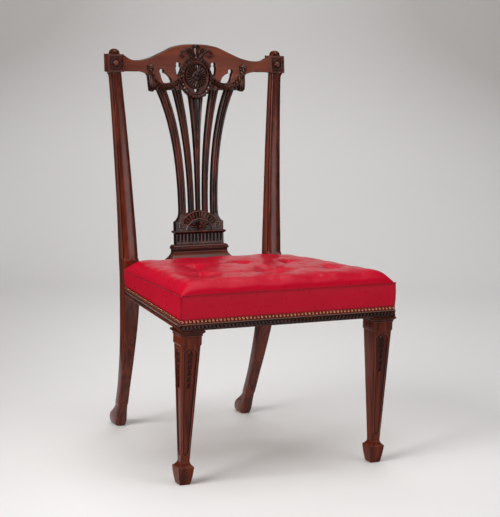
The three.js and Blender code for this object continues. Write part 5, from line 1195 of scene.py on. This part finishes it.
def garland_shape(relief):
    """Ring of husks round the medallion, small at its top, broad and overlapping at its foot; each
    leans across the ellipse, so that the ring looks twisted."""
    wide, high = GARLAND["half_width"], GARLAND["half_height"]
    shapes = []
    for i in range(GARLAND["count"]):
        a = FULL_TURN * (i + 0.5) / GARLAND["count"] + math.pi / 2
        low = smooth((0.4 - math.sin(a)) / 1.3)
        x, z = wide * math.cos(a), GARLAND["z"] + high * math.sin(a)
        along = math.atan2(high * math.cos(a), -wide * math.sin(a))
        turn = along + (0.5 if x > 0 else math.pi - 0.5)
        shapes.append(leaf(x, z, lerp(5.6, 7.6, low), lerp(3.6, 5.6, low), lerp(5.4, 6.6, low) * relief,
                           turn, 0.42, 0.1))
    return gathered(shapes)


def swag_shape(relief):
    """Swag of bellflowers: leaves laid along the curve, each over the last, with pairs beside them."""
    shapes = []
    for share in np.linspace(0.02, 0.98, 12):
        (x, z), (x1, z1) = swag_point(share), swag_point(share + 0.02)
        turn = math.atan2(z1 - z, x1 - x)
        size = 1.0 - 0.3 * abs(share - 0.5)
        shapes.append(leaf(x, z, 7.6, 4.4 * size, 7.2 * relief, turn + 0.18, 0.45, 0.15))
        for side in (-1, 1):
            px, pz = polar(x, z, 4.0 * size, turn + side * math.pi / 2)
            shapes.append(leaf(px, pz, 6.2, 3.1 * size, 5.6 * relief, turn + side * 0.5 + math.pi, 0.45, 0.1))
    return gathered(shapes)


def tassel_shape(relief):
    """Folded drop below a rosette: three long folds with fine ones between, and six petals round a bead."""
    fall, width = DROP["top"] - DROP["bottom"], DROP["width"]
    folds = ((-0.3, 0.22, 0.46, 5.0), (0, 0.2, 0.5, 6.2), (0.3, 0.22, 0.46, 5.0),
             (-0.15, 0.1, 0.44, 5.4), (0.15, 0.1, 0.44, 5.4))
    shapes = [leaf(DROP["x"] + place * width, DROP["top"] - fall * long, fall * long, wide * width,
                   rise * relief, -math.pi / 2, 0.25) for place, wide, long, rise in folds]
    x, z, size = DROP["rosette_x"], DROP["rosette_z"], DROP["rosette"]
    petals = leaf_ring(x, z, 0.55 * size, np.arange(6) * math.pi / 3 + 0.5, 0.5 * size, 0.36 * size,
                       4.6 * relief, 0.4, 0.15)
    return gathered([*shapes, *petals, leaf(x, z, 0.3 * size, 0.3 * size, 6.4 * relief)])


def anthemion_shape(relief):
    """Honeysuckle: a looped middle leaf with two eyes, curled inner leaves and arms that arch
    outward, turn down and end in curls."""
    bottom, height, reach = (ANTHEMION[k] for k in ("bottom", "height", "reach"))
    upright = math.pi / 2
    middle = [leaf(0, bottom + 0.5 * height, 0.5 * height, 0.15 * reach, 4.6 * relief, upright, 0.35, 0.15),
              leaf(0, bottom + 0.1 * height, 0.17 * height, 0.12 * reach, 6.4 * relief, upright, 0.4)]
    t = np.linspace(0, 1, 40)
    half = []
    for thick, thin, points in (
        (2.2, 2.0, ((0.12, 0.08), (0.25, 0.4), (0.28, 0.7), (0.2, 0.94), (0.06, 1), (0.05, 0.86))),
        (2.0, 1.8, ((0.18, 0.12), (0.4, 0.36), (0.5, 0.62), (0.44, 0.76), (0.34, 0.68))),
        (3.0, 2.1, ((0.2, 0.04), (0.42, 0.22), (0.66, 0.5), (0.86, 0.62), (1.04, 0.52), (1.12, 0.28),
                    (1.02, 0.1), (0.9, 0.2))),
    ):
        across, up = curve(points, t)
        x, z = reach * across, bottom + height * up
        path = at(x, crest_face(x, z) - 2.2 * relief, z)
        # a faint painted highlight along the arms and curls
        half.append(tube(path, lerp(thick, thin, t), 10, -0.12))
        half.append(ball(path[-1] - [0, 0.9, 0], 1.45 * thin, 8, 12))
    half.append(leaf(0.62 * reach, bottom + 0.68 * height, 0.15 * height, 0.06 * reach, 4.2 * relief,
                     1.1, 0.4))
    return gathered([*middle, *half, *[mirrored(shape) for shape in half]])


# Splat and shoe

def rib_shape(rib, side):
    """One rib. With t up its length, its middle is foot + (head - foot) s, s = t^2 (1 - b) + t^4 b.
    Across, v from -1 to 1: a round band in the middle, a hollow each side and a thin raised edge.
    The middle rib is slit in two from its head down by a groove that narrows and fades."""
    foot, head, foot_width, head_width, bend = rib
    top, low = CREST["field_bottom"], PEDESTAL["shoulder"]
    z = np.append(low, np.linspace(SPLAT["spring"] - 8, top - GAP, 120))[:, None]
    t = (z - SPLAT["spring"]) / (top - SPLAT["spring"])
    up = np.maximum(t, 0)
    spread = up ** 2 * (1 - bend) + up ** 4 * bend
    middle, half = side * lerp(foot, head, spread), lerp(foot_width, head_width, spread) / 2
    outer = np.array([0.46, 0.5, 0.54, 0.62, 0.72, 0.8, 0.86, 0.95, 1])
    v = np.concatenate([-outer[::-1], np.linspace(-0.42, 0.42, 29), outer])
    a = np.abs(v)
    hollow = smooth((a - 0.42) / 0.12) * smooth((0.9 - a) / 0.1)
    band = np.where(a < 0.5, clamp(a / 0.45) ** 2, 1.0)
    grow = smooth(t / 0.12 + 0.5)
    depth = (np.maximum(1.8 * hollow, band) + 0.9 * smooth((a - 0.93) / 0.07)) * lerp(0.45, 1.0, grow)
    # painted shade in the hollows and on the side walls, and a painted highlight on the raised edges
    shade = (0.25 * hollow - 0.3 * (a > 0.84) * (a < 0.97) + 0.9 * (a > 0.97)) * grow
    if foot == 0:
        wide = lerp(0.03, 0.2, clamp((z - 690) / 130))
        cut = smooth((z - 680) / 110) * smooth((834 - z) / 5) * smooth((wide + 0.16 - a) / 0.16)
        # painted shade in the slit
        depth, shade = depth + 3.4 * cut, np.maximum(shade, 1.2 * cut)

    def strip(v, behind):
        x = middle + half * v
        level = np.minimum(z, np.maximum(crest_bottom(x) - GAP, low))
        return at(x, splat_front(level) + behind, level)

    front = strip(v, SPLAT["rib_front"] + depth)
    back = strip(np.array([1, 0.9, 0, -0.9, -1]), SPLAT["thickness"] - 2 * np.array([1, 0, 0, 0, 1]))
    # painted shade on the side walls of the back
    dark = np.broadcast_to([1.0, 0, 0, 0, 1.0], (len(z), 5))
    return loft(np.concatenate([front, back], 1), np.concatenate([np.minimum(shade, 1.0), dark], 1))


def pedestal_loop():
    """Outline of the pedestal: square foot, flares up to the outer ribs, and the arch between them."""
    arch_rise = SPLAT["spring"] - PEDESTAL["arch_z"]
    half, rib_edge = PEDESTAL["half_width"], RIBS[2][0] + RIBS[2][2] / 2
    across, up = curve(FLARE, np.linspace(0, 1, 14))
    flare = np.stack([lerp(half, rib_edge, across), lerp(PEDESTAL["shoulder"], PEDESTAL["throat"], up)], -1)
    turn = np.linspace(0.14, 0.36, 30) * FULL_TURN
    arch = np.stack([PEDESTAL["arch_half"] * np.cos(turn), PEDESTAL["arch_z"] + arch_rise * np.sin(turn)], -1)
    foot = [(-half, PEDESTAL["bottom"]), (half, PEDESTAL["bottom"])]
    return np.concatenate([foot, flare, arch, flare[::-1] * [-1, 1]])


def pedestal_relief(x, z):
    """Lunette of reeds between two arches over a fan, squared keys beside it and flutes below, each
    a half-round h = rise * sqrt(1 - v^2) across its own width. The whole face is a little darker;
    painted shade fills the band between the arches, the recess under them, the beds of the keys and the
    flutes, and painted highlights light the arch rims, the reeds, the middles of the petals, the bars of
    the keys and the strips between the flutes."""
    height, shade = np.zeros_like(x), np.full_like(x, 0.25)
    arch_half, inner_half = PEDESTAL["arch_half"], PEDESTAL["inner_half"]
    arch_rise = SPLAT["spring"] - PEDESTAL["arch_z"]
    across, dz, above = np.abs(x), z - PEDESTAL["arch_z"], z > PEDESTAL["cornice_top"] + 0.5
    outer = np.hypot(x / arch_half, dz / arch_rise)
    inner = np.hypot(x / inner_half, dz / PEDESTAL["inner_rise"])
    turn = np.arctan2(dz / arch_rise, x / arch_half) / FULL_TURN
    middle = above & (turn > 0.085) & (turn < 0.415)

    def carve(where, h, dark):
        nonlocal height, shade
        height, shade = np.where(where, h, height), np.where(where, dark, shade)

    # painted shade in the band between the arches and in the recess under them
    carve((outer < 1) & (inner > 1) & middle, -1.6, 1.0)
    carve((inner < 1) & above, -1.4, 0.95)
    reed = clamp(np.abs(2 * ((turn * 34.0) % 1.0) - 1) * 1.2)
    # reeds: a painted highlight on their crowns, painted shade between them
    carve((outer < 0.93) & (inner > 1.08) & middle, -1.6 + 2.9 * dome(reed), 1.4 * reed ** 2 - 0.4)
    rim = (outer - 0.968) * arch_half
    # painted highlights on the two arch rims
    carve((np.abs(rim) < 1.8) & middle, 2.3 * dome(rim / 1.9), -0.9 + 0.35 * rim ** 2)
    rim = (inner - 1.0) * inner_half
    carve((np.abs(rim) < 1.7) & above, 2.2 * dome(rim / 1.8), -0.9 + 0.35 * rim ** 2)
    fan_z, fan_half, fan_rise, heart_z = 512.0, 27.0, 11.5, 509.5
    lens = np.abs(z - fan_z) / (fan_rise * clamp(1 - (x / fan_half) ** 2) + 0.01)
    around, far = np.arctan2(z - heart_z, x), np.hypot(x, z - heart_z)
    petal = np.abs(2 * ((around / math.pi * 9.0 + 0.5) % 1.0) - 1)
    # petals: a painted highlight in their middles, painted shade at their sides
    carve((lens < 0.92) & (far > 5.4), -1.4 + 3.4 * dome(petal * 1.15), 1.1 * clamp(petal * 1.1) ** 2 - 0.3)
    carve((far < 5.0) & (far > 1.8), -0.6 + 2.6 * np.abs(np.cos(2.5 * around)), 0.2)
    carve(far < 1.8, 2.2 * dome(far / 2.2), -0.3)
    # keys: painted highlights on the bars
    for x0, x1, z0, z1 in ((42.0, 56.0, 518.6, 521.0), (42.0, 56.0, 507.5, 510.0), (53.4, 56.0, 507.5, 521.0),
                           (42.0, 44.6, 507.5, 517.0), (42.0, 50.4, 514.4, 517.0)):  # bars of a key
        d = np.maximum(np.maximum(x0 - across, across - x1), np.maximum(z0 - z, z - z1))
        up = 1.6 * smooth(0.5 - d)
        carve((d < 0.6) & ~middle, np.maximum(up, height), np.where(up > 0.7, -0.8, 0.5))
    # painted shade in the beds of the keys
    bed = (across > 40) & (across < 58) & (z > 505) & (z < 523.5) & ~middle & (height < 0.4)
    shade = np.where(bed, np.maximum(shade, 0.8), shade)
    nearest, half = np.round(x / FLUTE["pitch"]), FLUTE["half_width"]
    end = np.maximum((FLUTE["bottom"] + 2.8 - z) / 2.8, 0)
    in_row = (np.abs(nearest) <= (FLUTE["count"] - 1) / 2) & (z < FLUTE["top"])
    hollow = np.hypot((x - nearest * FLUTE["pitch"]) / half, end)
    # painted shade in the flutes, and a painted highlight on the strips between them
    carve(in_row & (hollow < 1), -3.2 * dome(hollow), 1.0)
    shade = np.where(in_row & (z > FLUTE["bottom"] + 2) & (hollow > 1.2), -0.25, shade)
    return height, np.clip(shade, -1.0, 1.0)


def swept_band(section, front_share, behind, wave=0.0):
    """Moulding round the splat from a section of (out, level, shade, wave share). Each ring is the plan
    of a rectangle: front_share is how much of the reach shows in front, behind how far it stands out at
    the back, and wave lifts the ring by wave * share * sin x."""
    out, z, shade, share = np.array(section, float).T[..., None]
    wide = PEDESTAL["half_width"] + out
    front, back = splat_front(z) - out * front_share, splat_front(z) + SPLAT["thickness"] + behind
    side = np.array([0.15, 0.5, 1])
    x = wide * np.concatenate([np.linspace(-1, 1, 41), np.ones(3), -np.ones(3)])
    y = np.concatenate([front + np.zeros(41), lerp(front, back, side), lerp(front, back, side[::-1])], 1)
    return loft(at(x, y, z + wave * share * np.sin(x * FULL_TURN / 9.5)), shade)


def cornice_shape():
    """Cornice of the pedestal: a fillet over a hollow, with a wavy edge. Painted shade darkens the hollow,
    and a painted highlight lights the wavy edge of the fillet.
    """
    top, reach = PEDESTAL["cornice_top"], PEDESTAL["cornice_reach"]
    low = top - PEDESTAL["cornice_height"]
    return swept_band((
        (0.2, low - 1.4, 0.9, 0), (1.2, low - 0.9, 0.9, 0), (1.4, low - 0.2, 0.9, 0), (2, low + 0.3, 0.8, 0),
        (3.4, low + 1.2, 0.6, 0), (4.6, low + 2.4, 0.4, 0), (reach, low + 3.6, 0.3, 1),
        (reach, top - 1.8, -0.1, 1), (4.6, top - 0.9, -0.4, 1), (3.2, top - 0.3, -0.2, 0), (1.4, top, 0, 0),
        (0.2, top + 0.3, 0.5, 0),
    ), 0.56, 0.3, 0.35)


def shoe_shape():
    """Moulded shoe: ovolo with a row of small beads, fillet and a long hollow that spreads to the seat.
    Painted shade darkens the band behind the beads, the fillet under the ovolo and the foot; painted
    highlights light the beads, the ovolo's upper and lower edges and the long hollow.
    """
    top, foot, reach, neck_reach = (SHOE[k] for k in ("top", "foot", "reach", "neck"))
    ovolo = top - SHOE["ovolo"]
    neck = ovolo - SHOE["neck_height"]
    t = np.linspace(0, 1, 14)[1:]
    hollow = np.stack([lerp(neck_reach, reach, t ** 1.8), lerp(neck, foot, t),
                       -0.3 * np.sin(math.pi * t ** 0.8) ** 2], -1)
    base = (reach + 0.2, foot - 1.4, 0.3), (reach + 0.2, RAIL_TOP + 1.0, 0.3), (reach, RAIL_TOP + GAP, 0.3)
    section = np.concatenate([(
        (0.3, top, 0), (4, top - 0.3, 0), (6.6, top - 1.4, -0.2), (8.6, top - 3.4, 0), (9.6, top - 5.2, 0.2),
        (9.9, top - 6.6, 0.5), (10.1, top - 7.6, 0.6), (10.5, top - 8.2, -0.1), (10.5, ovolo + 0.8, -0.2),
        (9.6, ovolo, 0.3), (7.6, ovolo - 0.2, 0.9), (7.4, ovolo - 1.0, 1), (7.4, neck + 1.0, 0.6),
        (neck_reach, neck + 0.2, 0.2),
    ), hollow, base])
    body = swept_band(np.pad(section, ((0, 0), (0, 1))), SHOE_FRONT, SHOE["back"])
    level, bead_out, row_half = top - 6.9, 9.9, 73.5
    front = splat_front(level) - bead_out * SHOE_FRONT
    beads = [ball((x, front, level), (2.6, 1.7, 1.6), 8, 10, -0.3)
             for x in np.linspace(-row_half, row_half, 20)]
    return gathered([body, *beads])


def splat_shape():
    """Pedestal, cornice and the five ribs."""
    # rim_shade paints a dark outline round the pedestal
    pedestal = plate([pedestal_loop()], 1.0, lambda x, z: splat_front(z), SPLAT["thickness"], pedestal_relief,
                     0.8, 1.0, rim_shade=0.4)
    ribs = [rib_shape(rib, side) for rib in RIBS for side in ((1,) if rib[0] == 0 else (1, -1))]
    return gathered([pedestal, cornice_shape(), *ribs])


# Under the seat

STRAP = {"width": 50.0, "thickness": 1.4, "lap": 18.0, "rear_lap": 8.0}
HESSIAN_Z, HESSIAN_THICKNESS, HESSIAN_INSET = 406.7, 1.0, 9.0


def strap_table():
    """Name, direction, middle, ends, crossings and whether it starts over them, of each strap."""
    rail = RAIL_THICKNESS / math.cos(SIDE_TURN)
    x_places = [share * (frame_half(SEAT_DEPTH) - rail) for share in (-0.6, -0.2, 0.2, 0.6)]
    y_places = [share * SEAT_DEPTH for share in (0.25, 0.5, 0.75)]
    ends = RAIL_THICKNESS - STRAP["lap"], REAR_RAIL_FRONT + STRAP["rear_lap"]
    rows = [(f"webbing_lengthwise_{i + 1}", False, x, *ends, y_places, i % 2 == 0)
            for i, x in enumerate(x_places)]
    for i, y in enumerate(y_places):
        reach = frame_half(y + STRAP["width"]) - rail + STRAP["lap"]
        rows.append((f"webbing_crosswise_{i + 1}", True, y, -reach, reach, x_places, i % 2 != 0))
    return rows


def strap_shape(along_x, middle, start, end, crossings, starts_high):
    """Woven strap: a flat band that rises by one thickness over every second strap it crosses."""
    run, thick, half = np.linspace(start, end, 120)[:, None], STRAP["thickness"], STRAP["width"] / 2
    rise = sum(smooth((36.0 - np.abs(run - place)) / 10.0) for place in crossings[0 if starts_high else 1::2])
    side = middle + half * np.array([-1, -0.976, 0.976, 1, 0.976, -0.976])
    level = RAIL_TOP + GAP + clamp(rise) * (GAP + thick) + thick * np.array([0.5, 0, 0, 0.5, 1, 1])
    return loft(at(run, side, level) if along_x else at(side, run, level))


def hessian_shape():
    """Flat cloth over the straps, cut round the stiles."""
    front, back, rear = HESSIAN_INSET, SEAT_DEPTH - GAP, REAR_RAIL_FRONT + STRAP["rear_lap"]
    notch = JOG * frame_half(SEAT_DEPTH)
    right = np.array([(frame_half(front) - front, front), (frame_half(back) - front, back), (notch, back),
                      (notch, rear)])
    outline, triangles, _ = filled([np.concatenate([right, right[::-1] * [-1, 1]])], 12.0)
    low, high = (at(*outline.T, level) for level in (HESSIAN_Z, HESSIAN_Z + HESSIAN_THICKNESS))
    points, faces = shell(low, high, triangles[:, ::-1])
    return points, faces, np.zeros(len(points))


# User values

def length(name, description, default, low, high):
    return bpy.props.FloatProperty(name=name, description=description, default=default, min=low, max=high,
                                   subtype="DISTANCE", unit="LENGTH")


def colour(name, description, *default):
    return bpy.props.FloatVectorProperty(name=name, description=description, default=srgb(*default), size=3,
                                         min=0, max=1, subtype="COLOR")


class ChairSizes(bpy.types.PropertyGroup):
    """Sizes of the chair's surfaces that can be changed without a new frame."""

    crown: length("Seat crown", "Rise of the seat's shoulders over the seam", 0.030, 0.015, 0.034)
    tuft_depth: length("Tuft depth", "How far the tufts sink the seat", 0.0125, 0.0, 0.016)
    nail_diameter: length("Nail diameter", "Width of a brass nail head", 0.0086, 0.005, 0.0092)
    nail_pitch: length("Nail pitch", "From the middle of one nail to the next", 0.00925, 0.0086, 0.03)
    gadroon_depth: length("Gadroon depth", "Depth of the cuts between the lobes of the front moulding",
                          0.0018, 0.0, 0.003)
    panel_depth: length("Panel depth", "How far the panels of the front legs are sunk", 0.0016, 0.0, 0.003)
    relief: bpy.props.FloatProperty(
        name="Carving relief", description="Height of the crest's ornament as a factor of the modelled height",
        default=1.0, min=0.5, max=1.3, subtype="FACTOR")


class ChairColours(bpy.types.PropertyGroup):
    """Colours of the chair and of the room round it."""

    mahogany: colour("Mahogany", "Lighter streaks of the wood", 124, 50, 30)
    mahogany_dark: colour("Dark mahogany", "Darker streaks of the wood", 36, 12, 8)
    # also the colour of painted highlights on lit edges and of a painted sheen over the crest
    edge_wear_and_highlight: colour("Worn edges", "Rubbed edges and high places of the carving", 142, 98, 80)
    # old polish, and also the colour of painted shade in hollows, grooves, shaded walls and dark outlines
    hollow: colour("Hollows", "Old polish in the hollows of the carving", 13, 8, 7)
    leather: colour("Leather", "Crimson of the seat", 190, 5, 38)
    leather_worn: colour("Worn leather", "Paler patches of the seat", 202, 12, 46)
    # darker seams, and also the colour of painted shade in the tuft pits
    leather_dark: colour("Leather seams", "Leather in seams and pits", 92, 4, 18)
    brass: colour("Brass", "Nail heads", 226, 158, 116)
    # also the colour of painted shade round the rims of the nail heads
    brass_dark: colour("Aged brass", "Tarnish on the nail heads", 72, 38, 24)
    floor: colour("Floor", "Floor and backdrop", 247, 245, 244)


# Operators

class ChairOperator:
    """What the operators share."""

    bl_options = {"REGISTER", "UNDO"}

    @property
    def sizes(self):
        return bpy.context.scene.chair_sizes

    @property
    def colours(self):
        return bpy.context.scene.chair_colours


class CHAIR_OT_seat(ChairOperator, bpy.types.Operator):
    """Builds the leather cover with its tufts, the welt in its seam and the stuffing inside"""

    bl_idname = "chair.seat"
    bl_label = "Leather seat"

    def execute(self, context):
        leather = leather_material(self.colours)
        cover = piece("leather_seat", seat_shape(self.sizes), leather, ["leather_cover"], sharp=60)
        piece("seat_welt", welt_shape(self.sizes), leather, ["seam_welt"], sharp=80)
        hair = woven("loose_horsehair", (62, 50, 42), (28, 23, 20), 0.004)
        stuffing = piece("hair_stuffing", stuffing_shape(self.sizes), hair, ["stuffing"])
        return {"FINISHED"}


class CHAIR_OT_nails(ChairOperator, bpy.types.Operator):
    """Builds the three rows of domed brass nails"""

    bl_idname = "chair.nails"
    bl_label = "Brass nails"

    def execute(self, context):
        rows = ["front_nails", "left_side_nails", "right_side_nails"]
        piece("brass_nails", nails_shape(self.sizes), brass_material(self.colours), rows, sharp=70)
        return {"FINISHED"}


class CHAIR_OT_mouldings(ChairOperator, bpy.types.Operator):
    """Builds the gadrooned front moulding and the plain side mouldings"""

    bl_idname = "chair.mouldings"
    bl_label = "Seat mouldings"

    def execute(self, context):
        across = mahogany("mahogany_carved_x", "X", self.colours, carved=0.6)
        back = mahogany("mahogany_y", "Y", self.colours)
        piece("gadroon_moulding", gadroon_shape(self.sizes), across, ["front_moulding"])
        pair("moulding", side_moulding_shape(), back, "side_moulding")
        return {"FINISHED"}


class CHAIR_OT_front_legs(ChairOperator, bpy.types.Operator):
    """Builds the front legs with their panels, bellflowers and spade feet"""

    bl_idname = "chair.front_legs"
    bl_label = "Front legs"

    def execute(self, context):
        wood = mahogany("mahogany_leg", "Z", self.colours, carved=0.1, gloss=0.12)
        pair("carved_leg", leg_shape(self.sizes.panel_depth / MM), wood, "front_leg")
        return {"FINISHED"}


class CHAIR_OT_stiles(ChairOperator, bpy.types.Operator):
    """Builds the rear legs and uprights with their moulded fronts"""

    bl_idname = "chair.stiles"
    bl_label = "Stiles"

    def execute(self, context):
        wood = mahogany("mahogany_z", "Z", self.colours)
        pair("moulded_stile", stile_shape(), wood, "stile")
        return {"FINISHED"}


class CHAIR_OT_crest(ChairOperator, bpy.types.Operator):
    """Builds the pierced crest board, its corner blocks and all the ornament on it"""

    bl_idname = "chair.crest"
    bl_label = "Carved crest"

    def execute(self, context):
        # the crest is lighter and takes a painted sheen
        plain = mahogany("mahogany_crest", "X", self.colours, warmth_and_sheen=1.0)
        carved = mahogany("mahogany_ornament", "Z", self.colours, carved=0.8)
        block = mahogany("mahogany_block", "Z", self.colours, carved=0.15)
        relief = self.sizes.relief
        piece("crest_board", crest_board(), plain, ["crest_rail"])
        piece("corner_blocks", both_sides(corner_block()), block)
        piece("medallion", medallion(), carved)
        piece("garland", garland_shape(relief), carved, sharp=60)
        piece("swags", both_sides(swag_shape(relief)), carved, sharp=60)
        piece("tassels", both_sides(tassel_shape(relief)), carved, sharp=60)
        piece("anthemion", anthemion_shape(relief), carved, sharp=60)
        return {"FINISHED"}


class CHAIR_OT_splat(ChairOperator, bpy.types.Operator):
    """Builds the five ribs, the carved pedestal and the moulded shoe"""

    bl_idname = "chair.splat"
    bl_label = "Splat and shoe"

    def execute(self, context):
        upright = mahogany("mahogany_splat", "Z", self.colours, carved=0.55, gloss=0.25)
        across = mahogany("mahogany_shoe", "X", self.colours, carved=0.45)
        piece("carved_splat", splat_shape(), upright, ["splat"])
        piece("moulded_shoe", shoe_shape(), across, ["splat_shoe"])
        return {"FINISHED"}


class CHAIR_OT_under_seat(ChairOperator, bpy.types.Operator):
    """Builds the webbing and hessian, and gives the seat frame its woods"""

    bl_idname = "chair.under_seat"
    bl_label = "Seat frame and webbing"

    def execute(self, context):
        jute = woven("jute_webbing", (178, 148, 102), (112, 84, 54), 0.0042)
        for name, along_x, middle, start, end, crossings, high in strap_table():
            shape = strap_shape(along_x, middle, start, end, crossings, high)
            strap = piece(f"{name}_strap", shape, jute, [name])
            (end - start) * MM
        weave = woven("hessian_weave", (172, 146, 108), (120, 96, 66), 0.0026)
        hessian = piece("hessian_cloth", hessian_shape(), weave, ["hessian"])
        width = 2 * (frame_half(HESSIAN_INSET) - HESSIAN_INSET)
        width * MM
        beech = plain_wood()
        across = mahogany("mahogany_x", "X", self.colours)
        for name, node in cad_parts.items():
            if node.hide_render:
                continue
            for place in node.material_slots:
                place.material = across if name == "rear_rail" else beech
        return {"FINISHED"}


LAMPS = (  # name, place, target, size and watts
    ("key", (-3.3, -0.9, 2.0), (0.2, 0.1, 0.6), (2.0, 2.0), 118.0),
    ("fill", (1.5, -3.3, 0.85), (0, 0, 0.7), (1.7, 1.1), 15.0),
    ("top", (0.1, -0.6, 3.1), (0, 0, 0.2), (2.8, 2.8), 51.0),
    ("backdrop", (0.7, 1.4, 3.0), (1.7, 3.0, 0.6), (1.6, 0.8), 26.0),
)
CAMERA_PLACE = -1.7229, FRONT_Y - 3.12808, 1.0374  # metres, as fitted to the photo
CAMERA_BACK = -0.44913, -0.87881, 0.16126  # direction from the chair to the camera
CAMERA_LENS, CAMERA_SHIFT, CAMERA_ROLL = 112.77, (0.01466, 0.03644), math.radians(1.42)
FLOOR_TURN = math.radians(27.07)  # from Y to the direction that the camera looks in, in plan


class CHAIR_OT_stage(ChairOperator, bpy.types.Operator):
    """Builds the floor and backdrop, the lights and the camera"""

    bl_idname = "chair.stage"
    bl_label = "Stage"

    def floor(self):
        """Sheet of paper in metres that runs back along the floor and bends up as a quarter circle."""
        side = math.cos(FLOOR_TURN), -math.sin(FLOOR_TURN)
        away = math.sin(FLOOR_TURN), math.cos(FLOOR_TURN)
        bend, radius = np.linspace(0, math.pi / 2, 24), 1.8
        run = np.concatenate([[-4.2, 0.6], 2.2 + radius * np.sin(bend), [4.0]])[:, None]
        up = np.concatenate([[0, 0], radius - radius * np.cos(bend), [4.4]])[:, None]
        width = np.linspace(-1.45, 1.9, 3)
        points = at(away[0] * run + side[0] * width, away[1] * run + side[1] * width, up)
        mesh = bpy.data.meshes.new("floor")
        mesh.from_pydata(points.reshape(-1, 3).tolist(), [], grid_quads(*points.shape[:2]).tolist())
        mesh.polygons.foreach_set("use_smooth", np.ones(len(mesh.polygons), bool))
        mesh.materials.append(paper(self.colours, side, away))
        placed("floor", mesh)

    def lamps(self):
        for name, place, target, (wide, tall), watts in LAMPS:
            lamp = bpy.data.lights.new(name, "AREA")
            lamp.shape, lamp.size, lamp.size_y, lamp.energy = "RECTANGLE", wide, tall, watts
            obj = placed(name, lamp)
            obj.location = place
            obj.rotation_mode = "QUATERNION"
            obj.rotation_quaternion = (Vector(target) - Vector(place)).to_track_quat("-Z", "Y")

    def camera(self):
        lens = bpy.data.cameras.new("camera")
        lens.lens, lens.sensor_width, lens.sensor_fit = CAMERA_LENS, 36.0, "AUTO"
        lens.shift_x, lens.shift_y = CAMERA_SHIFT
        lens.clip_start, lens.clip_end = 0.1, 60.0
        viewer = placed("camera", lens)
        back = Vector(CAMERA_BACK).normalized()
        right = (-back).cross(Vector((0, 0, 1))).normalized()
        up = right.cross(-back)
        x_axis = right * math.cos(CAMERA_ROLL) + up * math.sin(CAMERA_ROLL)
        y_axis = up * math.cos(CAMERA_ROLL) - right * math.sin(CAMERA_ROLL)
        axes = Matrix((x_axis, y_axis, back)).transposed().to_4x4()
        viewer.matrix_world = Matrix.Translation(CAMERA_PLACE) @ axes
        return viewer

    def execute(self, context):
        self.floor()
        self.lamps()
        world = bpy.data.worlds.new("studio")
        world.use_nodes = True
        ground = next(n for n in world.node_tree.nodes if n.type == "BACKGROUND")
        ground.inputs["Color"].default_value = (1.0, 0.99, 0.975, 1)
        ground.inputs["Strength"].default_value = 0.06
        bpy.context.scene.world = world
        bpy.context.scene.camera = self.camera()
        bpy.context.scene.view_settings.view_transform = "Standard"
        return {"FINISHED"}


class CHAIR_PT_panel(bpy.types.Panel):
    """Builders and values of the chair"""

    bl_idname = "CHAIR_PT_panel"
    bl_label = "Lyre Back Chair"
    bl_space_type = "VIEW_3D"
    bl_region_type = "UI"
    bl_category = "Chair"

    def draw(self, context):
        for group in (context.scene.chair_sizes, context.scene.chair_colours):
            box = self.layout.box()
            for name in group.__annotations__:
                box.prop(group, name)
        for operator in OPERATORS:
            self.layout.operator(operator.bl_idname)


OPERATORS = (
    CHAIR_OT_seat, CHAIR_OT_nails, CHAIR_OT_mouldings, CHAIR_OT_front_legs, CHAIR_OT_stiles, CHAIR_OT_crest,
    CHAIR_OT_splat, CHAIR_OT_under_seat, CHAIR_OT_stage,
)
CLASSES = (ChairSizes, ChairColours, *OPERATORS, CHAIR_PT_panel)


def register():
    for cls in CLASSES:
        bpy.utils.register_class(cls)
    bpy.types.Scene.chair_sizes = bpy.props.PointerProperty(type=ChairSizes)
    bpy.types.Scene.chair_colours = bpy.props.PointerProperty(type=ChairColours)


def unregister():
    del bpy.types.Scene.chair_colours
    del bpy.types.Scene.chair_sizes
    for cls in reversed(CLASSES):
        bpy.utils.unregister_class(cls)


def main():
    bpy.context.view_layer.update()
    register()
    bpy.ops.chair.seat()
    bpy.ops.chair.nails()
    bpy.ops.chair.mouldings()
    bpy.ops.chair.front_legs()
    bpy.ops.chair.stiles()
    bpy.ops.chair.crest()
    bpy.ops.chair.splat()
    bpy.ops.chair.under_seat()
    bpy.ops.chair.stage()


if __name__ == "__main__":
    main()
